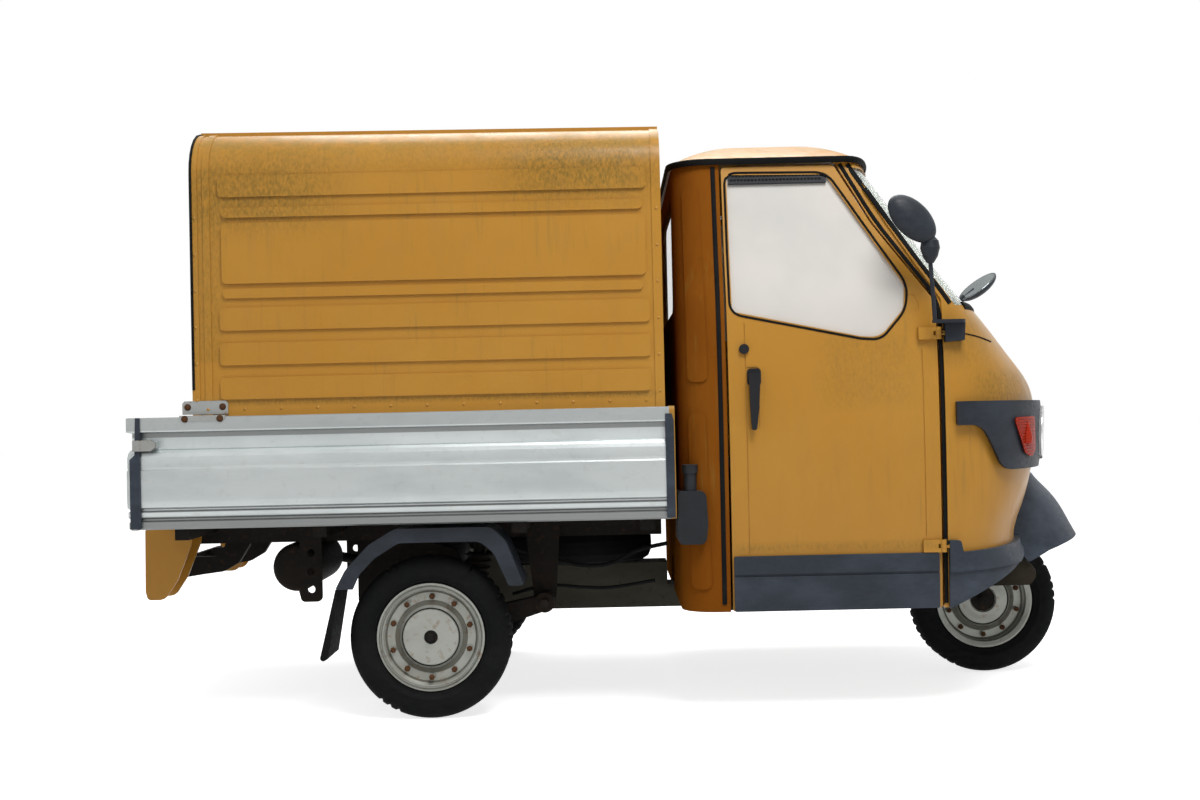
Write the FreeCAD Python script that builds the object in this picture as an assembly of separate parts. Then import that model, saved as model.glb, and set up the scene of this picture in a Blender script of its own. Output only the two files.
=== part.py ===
import FreeCAD, Part
import math
import os
from FreeCAD import Vector

# Three-wheeled light cargo vehicle: closed cab over one steered front wheel, drop-side bed over two
# rear wheels, ribbed box canopy over the bed.  X forward, Y to the left, Z up, ground at Z = 0.
# Lengths in millimetres, angles in degrees.

os.makedirs("parts", exist_ok=True)

# Driving sizes

wheelbase = 1590.0
frontAxleX = 1050.0
rearAxleX = frontAxleX - wheelbase
rearTrack = 1020.0
tyreRadius = 215.0
tyreWidth = 100.0
axleHeight = 215.0
rimRadius = 142.0
seatClearance = 0.3
movingGap = 6.0

cabRear = 125.0
cabHalfWidth = 603.0
cabFloor = 270.0
cabWallTop = 1452.0
cabCorner = 90.0
noseFront = 1184.0
sideEndX = 814.0
hingeX = 800.0
doorFrontX = 798.0
doorRearX = 254.0
doorBottom = 271.0
doorTop = 1443.0
wallThickness = 28.0
glassThickness = 5.0
glassInset = 9.0
roofRimHeight = 12.0
roofRimOut = 10.0
roofRise = 100.0

bedRear = -1274.0
bedFront = 97.0
bedHalfWidth = 630.0
bedFloorTop = 545.0
bedFloorThickness = 24.0
bedSideBottom = 518.0
bedSideTop = 808.0
bedSideThickness = 26.0
bedRailWidth = 52.0
headboardThickness = 14.0

floorThickness = 16.0
floorTop = cabFloor + 30.0
beamHalfWidth = 60.0
tunnelHalfWidth = beamHalfWidth + 2.0

canopyRear = -1140.0
canopyFront = 88.0
canopyHalfWidth = 600.0
canopyHeightRear = 1560.0
canopyHeightFront = 1550.0
canopyCorner = 118.0
canopyWall = 22.0
ribRise = 6.0
hatchBottom = 862.0
hatchTop = 1492.0
hatchHalfWidth = 500.0

steeringRake = 20.0
columnRadius = 20.0
handlebarReach = 795.0
steeringTrail = 7.0

# Cross hinges of the hatch and of the tailgate: X and Z of each axis
hatchAxis = (canopyRear - 8.0, hatchTop + 8.0)
hatchHingeY = 330.0
tailgateAxis = (bedRear - movingGap - bedSideThickness - 3.0, bedSideBottom - 9.0)
tailgateHingeY = 290.0


# Outline and solid helpers

def cornerParts(points, radii):
    """Straight and round stretches of a closed outline, from its corners and their radii."""
    count = len(points)
    starts, ends, middles = [], [], []
    for i in range(count):
        here = Vector(points[i][0], points[i][1], 0)
        back = Vector(points[i - 1][0], points[i - 1][1], 0) - here
        ahead = Vector(points[(i + 1) % count][0], points[(i + 1) % count][1], 0) - here
        radius = radii[i] if isinstance(radii, (list, tuple)) else radii
        back.normalize()
        ahead.normalize()
        half = math.acos(max(-1.0, min(1.0, back.dot(ahead)))) / 2.0
        if radius <= 0 or half > math.radians(89.5):
            starts.append(here)
            ends.append(here)
            middles.append(None)
            continue
        reach = radius / math.tan(half)
        bisector = back + ahead
        bisector.normalize()
        centre = here + bisector * (radius / math.sin(half))
        starts.append(here + back * reach)
        ends.append(here + ahead * reach)
        middles.append(centre - bisector * radius)
    return starts, middles, ends


def outlineFace(points, radii, place):
    """Flat face with rounded corners; place turns an outline point into a space point."""
    starts, middles, ends = cornerParts(points, radii)
    edges = []
    for i in range(len(points)):
        if middles[i] is not None:
            edges.append(Part.Arc(place(starts[i]), place(middles[i]), place(ends[i])).toShape())
        following = starts[(i + 1) % len(points)]
        if ends[i].distanceToPoint(following) > 1e-6:
            edges.append(Part.makeLine(place(ends[i]), place(following)))
    return Part.Face(Part.Wire(edges))


def prismAlongY(points, y0, y1, radii=0):
    face = outlineFace(points, radii, lambda p: Vector(p.x, y0, p.y))
    return face.extrude(Vector(0, y1 - y0, 0))


def prismAlongX(points, x0, x1, radii=0):
    face = outlineFace(points, radii, lambda p: Vector(x0, p.x, p.y))
    return face.extrude(Vector(x1 - x0, 0, 0))


def prismAlongZ(points, z0, z1, radii=0):
    face = outlineFace(points, radii, lambda p: Vector(p.x, p.y, z0))
    return face.extrude(Vector(0, 0, z1 - z0))


def boxBetween(x0, x1, y0, y1, z0, z1):
    return Part.makeBox(abs(x1 - x0), abs(y1 - y0), abs(z1 - z0),
                        Vector(min(x0, x1), min(y0, y1), min(z0, z1)))


def rodBetween(start, end, radius):
    return Part.makeCylinder(radius, start.distanceToPoint(end), start, end - start)


def tubeAlong(points, radius, bend):
    """Round bar along straight runs joined by tangent arcs."""
    edges = []
    last = points[0]
    for i in range(1, len(points) - 1):
        back = points[i - 1] - points[i]
        ahead = points[i + 1] - points[i]
        back.normalize()
        ahead.normalize()
        half = math.acos(max(-1.0, min(1.0, back.dot(ahead)))) / 2.0
        reach = bend / math.tan(half)
        bisector = back + ahead
        bisector.normalize()
        middle = points[i] + bisector * (bend / math.sin(half) - bend)
        edges.append(Part.makeLine(last, points[i] + back * reach))
        edges.append(Part.Arc(points[i] + back * reach, middle, points[i] + ahead * reach).toShape())
        last = points[i] + ahead * reach
    edges.append(Part.makeLine(last, points[-1]))
    path = Part.Wire(edges)
    ring = Part.Wire(Part.makeCircle(radius, points[0], points[1] - points[0]))
    return path.makePipeShell([ring], True, False)


def turned(profile, origin, axis):
    """Solid of revolution of an outline given as (radius, along) about an axis."""
    side = Vector(0, 0, 1) if abs(axis.z) < 0.9 else Vector(1, 0, 0)
    points = [origin + side * r + axis * a for r, a in profile]
    face = Part.Face(Part.makePolygon(points + [points[0]]))
    return face.revolve(origin, axis, 360)


def fused(shapes):
    whole = shapes[0]
    if len(shapes) > 1:
        whole = whole.multiFuse(shapes[1:])
    return whole.removeSplitter()


def mirrored(shape):
    return shape.mirror(Vector(0, 0, 0), Vector(0, 1, 0))


def pair(shape):
    return Part.makeCompound([shape, mirrored(shape)])


def export(name, shape):
    solids = [s for s in shape.Solids if s.Volume > 1.0]
    whole = solids[0] if len(solids) == 1 else Part.makeCompound(solids)
    whole.exportStep("parts/" + name + ".step")


# Cab body: one smooth form that every cab panel is cut from

# height, half width taken off, end of the straight side set back, nose set back from its tip
cabLevels = [
    (cabFloor, 17, 14, 102),
    (400, 9, 8, 80),
    (520, 4, 4, 60),
    (640, 1, 4, 25),
    (760, 0, 2, 16),
    (850, 1, 2, 32),
    (930, 5, 4, 92),
    (1000, 11, 8, 151),
    (1077, 20, 16, 226),
    (1150, 37, 54, 289),
    (1250, 60, 112, 361),
    (1350, 79, 172, 428),
    (cabWallTop, 99, 234, 504),
    (1500, 108, 262, 538),
]
noseSquareness = 2.25
noseSteps = 7


def noseCurve(z, sideX, halfWidth, frontX):
    """Rounded front of one level of the cab, from its left side round to its right side."""
    power = 2.0 / noseSquareness
    points = []
    for i in range(-noseSteps, noseSteps + 1):
        angle = math.pi / 2 * i / noseSteps
        across = math.copysign(abs(math.sin(angle)) ** power, -angle) if i else 0.0
        along = max(math.cos(angle), 0.0) ** power if abs(i) < noseSteps else 0.0
        points.append(Vector(sideX + (frontX - sideX) * along, halfWidth * across, z))
    points[0].y = halfWidth
    points[-1].y = -halfWidth
    parameters = [float(i) for i in range(len(points))]
    curve = Part.BSplineCurve()
    curve.interpolate(Points=points, Parameters=parameters)
    return curve.toShape()


def cabWire(z, rearX, sideX, frontX, halfWidth, corner):
    bend = corner * (1 - math.sqrt(0.5))
    rearLeft = Vector(rearX, halfWidth - corner, z)
    sideLeft = Vector(rearX + corner, halfWidth, z)
    rearRight = Vector(rearX, -halfWidth + corner, z)
    sideRight = Vector(rearX + corner, -halfWidth, z)
    midLeft = Vector(rearX + bend, halfWidth - bend, z)
    midRight = Vector(rearX + bend, -halfWidth + bend, z)
    return Part.Wire([
        Part.makeLine(rearRight, rearLeft),
        Part.Arc(rearLeft, midLeft, sideLeft).toShape(),
        Part.makeLine(sideLeft, Vector(sideX, halfWidth, z)),
        noseCurve(z, sideX, halfWidth, frontX),
        Part.makeLine(Vector(sideX, -halfWidth, z), sideRight),
        Part.Arc(sideRight, midRight, rearRight).toShape()])


cabForms = {}


def cabForm(grow):
    """Closed cab body, its skin moved out by grow, or in where grow is negative."""
    if grow not in cabForms:
        wires = []
        for i, (z, narrower, sideBack, noseBack) in enumerate(cabLevels):
            if i == 0:
                z -= 30 if grow < 0 else 0
            wires.append(cabWire(z, cabRear - grow, sideEndX - sideBack, noseFront - noseBack + grow,
                                 cabHalfWidth - narrower + grow, cabCorner + grow))
        cabForms[grow] = Part.makeLoft(wires, True, False)
    return cabForms[grow]


def skinPiece(outside, inside, region):
    """Part of the layer between two cab skins that lies in a region."""
    return cabForm(outside).common(region).cut(cabForm(inside))


wide = cabHalfWidth + 200.0

doorOutline = [(doorRearX, doorBottom), (doorFrontX, doorBottom), (doorFrontX, 1066), (642, 1284),
               (554, doorTop), (doorRearX, doorTop)]
doorRadii = [6, 6, 60, 400, 14, 10]
openingOutline = [(doorRearX - movingGap, doorBottom - 40), (doorFrontX + movingGap, doorBottom - 40),
                  (doorFrontX + movingGap, 1069), (642 + movingGap, 1287),
                  (554 + movingGap, doorTop + movingGap), (doorRearX - movingGap, doorTop + movingGap)]
windowOutline = [(doorRearX + 14, 1422), (532, 1418), (722, 1114), (716, 1050), (652, 976),
                 (600, 980), (doorRearX + 14, 1052)]
windowRadii = [8, 14, 30, 40, 55, 60, 12]


def cabShell():
    return cabForm(0).common(boxBetween(-2000, 2000, -wide, wide, cabFloor, cabWallTop)).cut(
        cabForm(-wallThickness))


def sideOpening(side):
    return prismAlongY(openingOutline, side * 300, side * wide, 4)


def windscreenRegion(margin):
    """Space in front of the windscreen pillars, between the scuttle and the roof."""
    return prismAlongY([(598 + margin, cabWallTop - 16 - margin), (852 + margin, 1058 + margin),
                        (2000, 1058 + margin), (2000, cabWallTop - 16 - margin)], -wide, wide, 0)


def rearWindowRegion(margin):
    half = 360 - margin
    return prismAlongX([(-half, 1070 + margin), (half, 1070 + margin), (half, 1385 - margin),
                        (-half, 1385 - margin)], cabRear - 60, cabRear + 90, 45 - margin)


def wheelhouseSpace(margin):
    """Room that the steered front wheel and its fork need under the nose."""
    return prismAlongY([(812 + margin, 100), (812 + margin, 548 - margin), (900, 575 - margin),
                        (1500, 575 - margin), (1500, 100)], -250 + margin, 250 - margin, 0)


def hingeParts(side, z, forDoor):
    """Leaf and knuckles of one outside door hinge: the door carries the outer knuckles."""
    axisY = side * hingeY
    knuckle, pin, height = 8.0, 4.0, 32.0
    third = height / 3.0
    base = Vector(hingeX, axisY, z - height / 2)
    up = Vector(0, 0, 1)
    skin = side * (cabHalfWidth - 26)
    if forDoor:
        leafStart, leafEnd = hingeX - 52, hingeX - 4
        barrels = [Part.makeCylinder(knuckle, third - 0.4, base, up),
                   Part.makeCylinder(knuckle, third - 0.4, base + up * (2 * third + 0.4), up)]
        leaves = [boxBetween(leafStart, leafEnd, side * (hingeY + 3), side * (hingeY - 2),
                             foot, foot + third - 0.4)
                  for foot in (z - height / 2, z + height / 2 - third + 0.4)]
        plate = boxBetween(leafStart, hingeX - knuckle - movingGap, side * (hingeY + 3), skin,
                           z - height / 2, z + height / 2)
        bore = Part.makeCylinder(pin + seatClearance, height + 20, base - up * 10, up)
        return fused(barrels + leaves + [plate]).cut(bore)
    barrel = Part.makeCylinder(knuckle, third, base + up * third, up)
    rod = Part.makeCylinder(pin, height, base, up)
    leaf = boxBetween(hingeX + 4, hingeX + hingeLeafReach, side * (hingeY + 3), skin,
                      z - third / 2, z + third / 2)
    return fused([barrel, rod, leaf])


hingeY = cabHalfWidth + 2.0
hingeLeafReach = 30.0
hingeHeights = (432.0, 983.0)


def rearWall():
    region = boxBetween(cabRear - 50, doorRearX - movingGap, -wide, wide, cabFloor, cabWallTop)
    tunnel = boxBetween(0, 400, -tunnelHalfWidth, tunnelHalfWidth, 100, floorTop)
    wall = cabShell().common(region).cut(rearWindowRegion(0)).cut(tunnel)
    ribs = []
    for z0, z1 in ((cabFloor + 60, 790), (870, 1390)):
        for side in (-1, 1):
            rib = prismAlongY([(148, z0), (200, z0), (192, z1), (148, z1)], side * 480, side * wide, 18)
            ribs.append(skinPiece(4, -6, rib))
    return fused([wall] + ribs)


def nosePanel():
    region = boxBetween(554, 1500, -wide, wide, cabFloor, cabWallTop)
    nose = cabShell().common(region)
    nose = nose.cut(windscreenRegion(0)).cut(wheelhouseSpace(0))
    lowerCut = prismAlongY([(815, 200), (815, 262), (1010, 415), (1400, 415), (1400, 200)], -wide, wide)
    nose = nose.cut(lowerCut)
    for side in (-1, 1):
        nose = nose.cut(sideOpening(side))
        strip = prismAlongY([(doorFrontX, 200), (hingeX + 14, 200), (hingeX + 14, 1072), (680, 1289),
                             (592, cabWallTop + 10), (554, cabWallTop + 10), (642, 1284),
                             (doorFrontX, 1066)], side * 300, side * wide)
        nose = nose.cut(cabForm(2).common(strip).cut(cabForm(-6)))
        for z in hingeHeights:
            nose = nose.fuse(hingeParts(side, z, False))
    return nose.removeSplitter()


def roof():
    rimBottom = cabWallTop
    rimTop = rimBottom + roofRimHeight
    narrower, sideBack, noseBack = cabLevels[-2][1:]
    sideX, frontX = sideEndX - sideBack, noseFront - noseBack
    halfWidth = cabHalfWidth - narrower
    centreX = (cabRear + frontX) / 2

    def level(z, share, out):
        return cabWire(z, centreX + (cabRear - centreX) * share - out, centreX + (sideX - centreX) * share,
                       centreX + (frontX - centreX) * share + out, halfWidth * share + out,
                       cabCorner * share + out)

    rim = Part.makeLoft([level(rimBottom, 1, roofRimOut), level(rimTop, 1, roofRimOut)], True, True)
    shares = ((0.0, 1.0), (0.14, 0.94), (0.46, 0.76), (0.77, 0.52), (0.94, 0.3), (1.0, 0.14))
    dome = Part.makeLoft([level(rimTop + roofRise * rise, share, 0) for rise, share in shares], True, False)
    hollow = Part.makeLoft([level(rimBottom - 5, 1, -wallThickness), level(rimTop, 1, -wallThickness)]
                           + [level(rimTop + (roofRise - 14) * rise, share, -wallThickness)
                              for rise, share in shares[1:-1]], True, True)
    return fused([rim, dome]).cut(hollow)


def doorPanel(side):
    region = prismAlongY(doorOutline, side * 300, side * wide, doorRadii)
    panel = skinPiece(0, -wallThickness, region)
    window = prismAlongY(windowOutline, side * 200, side * wide, windowRadii)
    panel = panel.cut(window)
    rearCrease = boxBetween(doorRearX + 43, doorRearX + 46, side * 400, side * wide, 420, 1020)
    frontCrease = boxBetween(doorFrontX - 42, doorFrontX - 39, side * 400, side * wide, 460, 940)
    handleDish = prismAlongY([(298, 746), (333, 746), (333, 906), (298, 906)], side * 400, side * wide, 6)
    pressed = prismAlongY([(711, 1044), (755, 1044), (755, 1062), (744, 1088), (722, 1088), (711, 1062)],
                          side * 400, side * wide, 6)
    for region in (rearCrease, frontCrease, handleDish, pressed):
        panel = panel.cut(skinPiece(2, -2, region))
    for z in hingeHeights:
        panel = panel.cut(Part.makeCylinder(8 + movingGap, 24, Vector(hingeX, side * hingeY, z - 12)))
    return fused([panel] + [hingeParts(side, z, True) for z in hingeHeights])


def doorGlass(side):
    window = prismAlongY(windowOutline, side * 200, side * wide, windowRadii)
    return skinPiece(-glassInset, -glassInset - glassThickness, window)


skirtOut = 11.0
skirtTop = 415.0
skirtGroove = (361.0, 368.0)


def doorTrim(side):
    """Plastic band along the foot of the door, and the pull handle with its lock."""
    band = prismAlongY([(doorRearX + 4, doorBottom), (doorFrontX - 9, doorBottom),
                        (doorFrontX - 9, skirtTop), (doorRearX + 4, skirtTop)],
                       side * 300, side * wide, 5)
    skirt = skinPiece(skirtOut, seatClearance, band)
    groove = boxBetween(doorRearX - 10, doorFrontX + 10, side * 300, side * wide, *skirtGroove)
    skirt = skirt.cut(skinPiece(skirtOut + 4, skirtOut - 4, groove))
    surfaceY = cabHalfWidth - 6
    plate = prismAlongY([(302, 858), (338, 858), (338, 902), (302, 902)],
                        side * surfaceY, side * (surfaceY + 9), 9)
    grip = prismAlongY([(310, 742), (323, 742), (330, 800), (335, 890), (305, 890), (307, 800)],
                       side * (surfaceY + 18), side * (surfaceY + 27), 6)
    posts = [prismAlongY([(308, 866), (332, 866), (332, 888), (308, 888)],
                         side * surfaceY, side * (surfaceY + 20), 4),
             prismAlongY([(311, 752), (322, 752), (322, 768), (311, 768)],
                         side * surfaceY, side * (surfaceY + 20), 3)]
    lock = Part.makeCylinder(13, 8, Vector(296, side * surfaceY, 953), Vector(0, side, 0))
    handle = fused([plate, grip] + posts).cut(cabForm(seatClearance))
    lock = lock.cut(cabForm(seatClearance))
    return Part.makeCompound([skirt, handle, lock])


def cabGlass():
    screen = skinPiece(-glassInset, -glassInset - glassThickness, windscreenRegion(0))
    rear = skinPiece(-glassInset, -glassInset - glassThickness, rearWindowRegion(0))
    return screen, rear



def cabFloorPan():
    """Floor, wheelhouse with its toe board, and the box that carries the seat."""
    inside = cabForm(-wallThickness - seatClearance)
    plate = boxBetween(cabRear, 812, -wide, wide, floorTop - floorThickness, floorTop)
    rails = [boxBetween(cabRear, 812, s * (cabHalfWidth - 95), s * cabHalfWidth, cabFloor, floorTop + 24)
             for s in (-1, 1)]
    house = wheelhouseSpace(-14).cut(wheelhouseSpace(0)).common(
        boxBetween(790, 1400, -400, 400, floorTop - floorThickness, 700))
    toe = boxBetween(800, 812, -wide, wide, cabFloor, 548)
    seatBox = prismAlongY([(cabRear, floorTop - 2), (452, floorTop - 2), (486, 548), (cabRear, 548)],
                          -470, 470, 0)
    seatHollow = boxBetween(cabRear + 55, 440, -450, 450, floorTop, 536)
    pan = fused([plate, house, toe] + rails)
    pan = fused([pan, seatBox.cut(seatHollow)]).common(inside)
    keepIn = boxBetween(-500, 2000, -(cabHalfWidth - 17 - wallThickness - movingGap),
                        cabHalfWidth - 17 - wallThickness - movingGap, 0, 3000)
    pan = pan.common(keepIn)
    headTube = rodBetween(steeringPoint(342), steeringPoint(440), columnRadius + 9)
    bore = rodBetween(steeringPoint(150), steeringPoint(700), columnRadius + seatClearance)
    return fused([pan, headTube]).cut(bore)


seatTop = 640.0


def seatCushion():
    pad = prismAlongY([(cabRear + 62, 548 + seatClearance), (500, 548 + seatClearance), (520, seatTop),
                       (cabRear + 62, seatTop)], -455, 455, [6, 10, 30, 20])
    return pad


def seatBack():
    backX = cabRear + wallThickness + seatClearance
    return prismAlongY([(backX, 690), (backX + 66, 690), (backX + 52, 1030), (backX, 1030)],
                       -440, 440, [6, 26, 24, 6])


def dashboard():
    inside = cabForm(-wallThickness - seatClearance)
    shelf = prismAlongY([(836, 872), (880, 850), (1300, 850), (1300, 925), (866, 945), (836, 925)],
                        -wide, wide, [20, 12, 0, 0, 12, 20])
    pod = prismAlongY([(842, 900), (900, 900), (915, 968), (872, 985)], -120, 120, [6, 6, 16, 16])
    return fused([shelf, pod]).common(inside)


# Plastic parts of the nose

clusterOut = 20.0
clusterTop = 805.0
clusterBottom = 624.0


def clusterOutline(lampTop, lampBottom):
    return [(sideEndX + 26, lampTop), (1300, lampTop), (1300, lampBottom), (968, lampBottom), (930, 700),
            (905, lampTop - 62), (sideEndX + 26, lampTop - 62)]


headlampRadius = 74.0
headlampY = 338.0
headlampZ = 716.0
lampInner = 236.0
indicatorOutline = [(1001, 760), (1081, 762), (1083, 672), (1068, 652), (1040, 664)]
indicatorRadii = [10, 10, 16, 14, 26]
lensInner = headlampY + headlampRadius + 6


def lampCluster():
    """Wrap-round lamp housing on the right corner of the nose."""
    outline = clusterOutline(clusterTop, clusterBottom)
    region = prismAlongY(outline, -lampInner, -wide, [3, 0, 0, 46, 60, 46, 6])
    face = prismAlongX([(-wide, clusterBottom - 20), (-lampInner, clusterBottom), (-lampInner, clusterTop),
                        (-wide, clusterTop + 10)], 0, 1500, [0, 70, 50, 0])
    region = region.common(face)
    housing = skinPiece(clusterOut, seatClearance, region)
    lampPocket = Part.makeCylinder(headlampRadius + seatClearance, 300,
                                   Vector(1040, -headlampY, headlampZ), Vector(1, 0, 0))
    lensPocket = skinPiece(clusterOut + 9, 6, prismAlongY(indicatorOutline, -lensInner, -wide,
                                                          indicatorRadii))
    return housing.cut(lampPocket).cut(lensPocket)


def headlamp():
    body = Part.makeCylinder(headlampRadius, 300, Vector(1040, -headlampY, headlampZ), Vector(1, 0, 0))
    return body.common(cabForm(clusterOut + 6)).cut(cabForm(seatClearance))


def indicator():
    inset = 0.4
    region = prismAlongY(indicatorOutline, -lensInner, -wide, indicatorRadii)
    return skinPiece(clusterOut + 7, 6 + inset, region)


def leafPocket(side, z):
    """Space around the frame leaf of a door hinge, cut from what covers it."""
    return boxBetween(hingeX, hingeX + hingeLeafReach + seatClearance, side * (hingeY + 3 + seatClearance),
                      side * 500, z - 6 - seatClearance, z + 6 + seatClearance)


def frontSkirt():
    """Plastic band under the nose, from the door to the mudguard, with its lower edge cut away."""
    start = sideEndX + 1
    upper = prismAlongY([(start, 447), (start + 30, 445), (start + 36, skirtTop), (1100, 428), (1100, 376),
                         (start, 363)], -270, -wide, [4, 8, 6, 0, 0, 0])
    lower = prismAlongY([(start, 369), (1100, 382), (1100, 352), (start, doorBottom - 6)], -270, -wide, 0)
    band = skinPiece(skirtOut + 6, seatClearance, upper)
    foot = skinPiece(skirtOut, seatClearance, lower)
    diagonal = prismAlongY([(start - 20, 100), (start - 20, doorBottom - 14), (start, doorBottom - 4),
                            (1028, 368), (1300, 496), (1300, 100)], -200, -wide, 0)
    skirt = fused([band, foot]).cut(diagonal).cut(mudguardForm(-1))
    return skirt.cut(leafPocket(-1, hingeHeights[0]))


mudguardTop = 592.0
mudguardTip = 1316.0
mudguardTipHeight = 422.0
mudguardWall = 7.0


def mudguardForm(inset):
    rows = ((318, mudguardTip + 8, 286), (mudguardTipHeight, mudguardTip, 284), (452, 1300, 276),
            (492, 1279, 262), (540, 1244, 240), (mudguardTop, 1198, 214))
    wires = []
    for i, (z, frontX, halfWidth) in enumerate(rows):
        if i == len(rows) - 1:
            z -= inset
        if i == 0:
            z -= inset * 2
        curve = noseCurve(z, 1000 - inset, halfWidth - inset, frontX - inset)
        back = Part.makeLine(Vector(1000 - inset, -(halfWidth - inset), z),
                             Vector(1000 - inset, halfWidth - inset, z))
        wires.append(Part.Wire([curve, back]))
    return Part.makeLoft(wires, True, False)


def frontMudguard():
    shell = mudguardForm(0).cut(mudguardForm(mudguardWall))
    under = prismAlongY([(900, 200), (1400, 200), (1400, mudguardTipHeight - 6),
                         (mudguardTip - 4, mudguardTipHeight - 8), (1230, 394), (1180, 380), (1120, 352),
                         (900, 350)], -wide, wide, 0)
    guard = shell.cut(under).cut(cabForm(seatClearance))
    keep = boxBetween(1010, 1400, -wide, wide, 300, 700)
    solids = guard.common(keep).Solids
    return max(solids, key=lambda s: s.Volume)


mirrorHalfWidth = 76.0
mirrorHalfHeight = 47.0
mirrorDepth = 30.0
mirrorShares = (1.0, 0.97, 0.88, 0.72, 0.5, 0.2)


def mirrorHead(centre, forward, upward):
    """Oval mirror shell with its flat glass side; forward is the way the shell bulges."""
    rings = []
    for share in mirrorShares:
        wide, tall = mirrorHalfWidth * share, mirrorHalfHeight * share
        depth = mirrorDepth * math.sqrt(1 - share * share) if share < 1 else 0.0
        oval = Part.Ellipse(Vector(0, 0, 0), wide, tall).toShape()
        oval.Placement = FreeCAD.Placement(Vector(depth, 0, 0), FreeCAD.Rotation(Vector(1, 1, 1), 120))
        rings.append(Part.Wire(oval))
    shell = Part.makeLoft(rings, True, False)
    across = upward.cross(forward)
    turn = FreeCAD.Placement(FreeCAD.Matrix(forward.x, across.x, upward.x, centre.x,
                                            forward.y, across.y, upward.y, centre.y,
                                            forward.z, across.z, upward.z, centre.z, 0, 0, 0, 1))
    shell.Placement = turn
    return shell


def mirrors():
    footZ = hingeHeights[1] + 24
    armX, armY, inner = hingeX - 16, hingeY + 35, cabHalfWidth - 60
    pieces = []
    for side in (-1, 1):
        foot = prismAlongZ([(hingeX + 6, -inner), (hingeX + 66, -inner), (hingeX + 66, -armY - 7),
                            (armX - 7, -armY - 7), (armX - 7, -armY + 6), (hingeX + 6, -armY + 6)],
                           footZ, footZ + 9, [0, 0, 24, 6, 5, 3])
        foot = foot if side < 0 else mirrored(foot)
        block = prismAlongY([(hingeX + 16, footZ - 48), (hingeX + 66, footZ - 44), (hingeX + 69, footZ + 9),
                             (hingeX + 16, footZ + 9)], side * inner, side * (cabHalfWidth + 12), 3)
        foot = foot.cut(cabForm(seatClearance))
        block = block.cut(cabForm(seatClearance)).cut(leafPocket(side, hingeHeights[1]))
        start = Vector(armX, side * armY, footZ + 3)
        if side < 0:
            centre = Vector(726, -662, 1273)
            neck = Vector(771, -648, 1216)
            stem = tubeAlong([start, start + Vector(-3, -3, 50), neck], 5.5, 40)
            forward, upward = Vector(0.20, -0.95, 0.12), Vector(0.70, 0.0, 0.71)
        else:
            centre = Vector(1231, 638, 1211)
            neck = Vector(1172, 640, 1163)
            stem = tubeAlong([start, start + Vector(30, 0, 44), neck], 5.5, 30)
            forward, upward = Vector(0.55, 0.35, -0.75), Vector(0.21, -0.93, -0.28)
        forward.normalize()
        upward = upward - forward * upward.dot(forward)
        upward.normalize()
        if side < 0:
            boot = turned([(0, -36), (9, -36), (19, -20), (25, 2), (22, 20), (10, 34), (0, 34)],
                          neck + Vector(3, 0, -19), Vector(0, 0, 1))
        else:
            boot = Part.makeCone(9, 13, 24, neck - (centre - neck).normalize() * 6, centre - neck)
        socket = rodBetween(neck, neck + (centre - neck) * 0.8, 6)
        pieces.append(fused([foot, block, stem, boot, socket, mirrorHead(centre, forward, upward)]))
    return Part.makeCompound(pieces)


# Steering and wheels

rake = math.radians(steeringRake)
steeringUp = Vector(-math.sin(rake), 0, math.cos(rake))
steeringForward = Vector(math.cos(rake), 0, math.sin(rake))
steeringBase = Vector(frontAxleX - steeringTrail, 0, axleHeight)


def steeringPoint(along, ahead=0.0, left=0.0):
    """Point given along the steering axis from the axle, ahead of it and to its left."""
    return steeringBase + steeringUp * along + steeringForward * ahead + Vector(0, left, 0)


axleRadius = 12.0
hubBore = axleRadius + seatClearance
armRadius = 19.0
armOffset = 92.0


def frontFork():
    """Steering tube, single-sided arm down the left of the wheel, damper and stub axle."""
    column = rodBetween(steeringPoint(262), steeringPoint(handlebarReach), columnRadius)
    arm = tubeAlong([steeringPoint(300), steeringPoint(272), steeringPoint(246, -6, armOffset),
                     steeringPoint(60, -10, armOffset)], armRadius, 26)
    knuckle = rodBetween(steeringPoint(70, -10, armOffset), steeringPoint(-4, 0, armOffset), armRadius + 3)
    axlePoint = Vector(frontAxleX, 0, axleHeight)
    boss = Part.makeCylinder(34, 30, axlePoint + Vector(0, armOffset - 18, 0), Vector(0, 1, 0))
    axle = Part.makeCylinder(axleRadius, armOffset + 30, axlePoint + Vector(0, -32, 0), Vector(0, 1, 0))
    damper = rodBetween(steeringPoint(214, 44, armOffset), steeringPoint(12, 40, armOffset), 17)
    spring = rodBetween(steeringPoint(196, 44, armOffset), steeringPoint(66, 42, armOffset), 25)
    bridge = rodBetween(steeringPoint(206, -6, armOffset), steeringPoint(206, 52, armOffset), 12)
    foot = rodBetween(steeringPoint(10, -6, armOffset), steeringPoint(14, 44, armOffset), 14)
    return fused([column, arm, knuckle, boss, axle, damper, spring, bridge, foot])


def handlebar():
    centre = steeringPoint(handlebarReach + 16)
    clamp = rodBetween(steeringPoint(handlebarReach + seatClearance),
                       steeringPoint(handlebarReach + 34), 30)
    bar = tubeAlong([centre + Vector(-52, -300, -6), centre + Vector(-20, -150, 16),
                     centre + Vector(0, -60, 0), centre + Vector(0, 60, 0),
                     centre + Vector(-20, 150, 16), centre + Vector(-52, 300, -6)],
                    12, 60)
    pieces = [clamp, bar]
    for side in (-1, 1):
        inner = centre + Vector(-31, side * 200, 9)
        outer = centre + Vector(-52, side * 300, -6)
        pieces.append(rodBetween(inner, outer + (outer - inner) * 0.02, 17))
    return fused(pieces)


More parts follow.
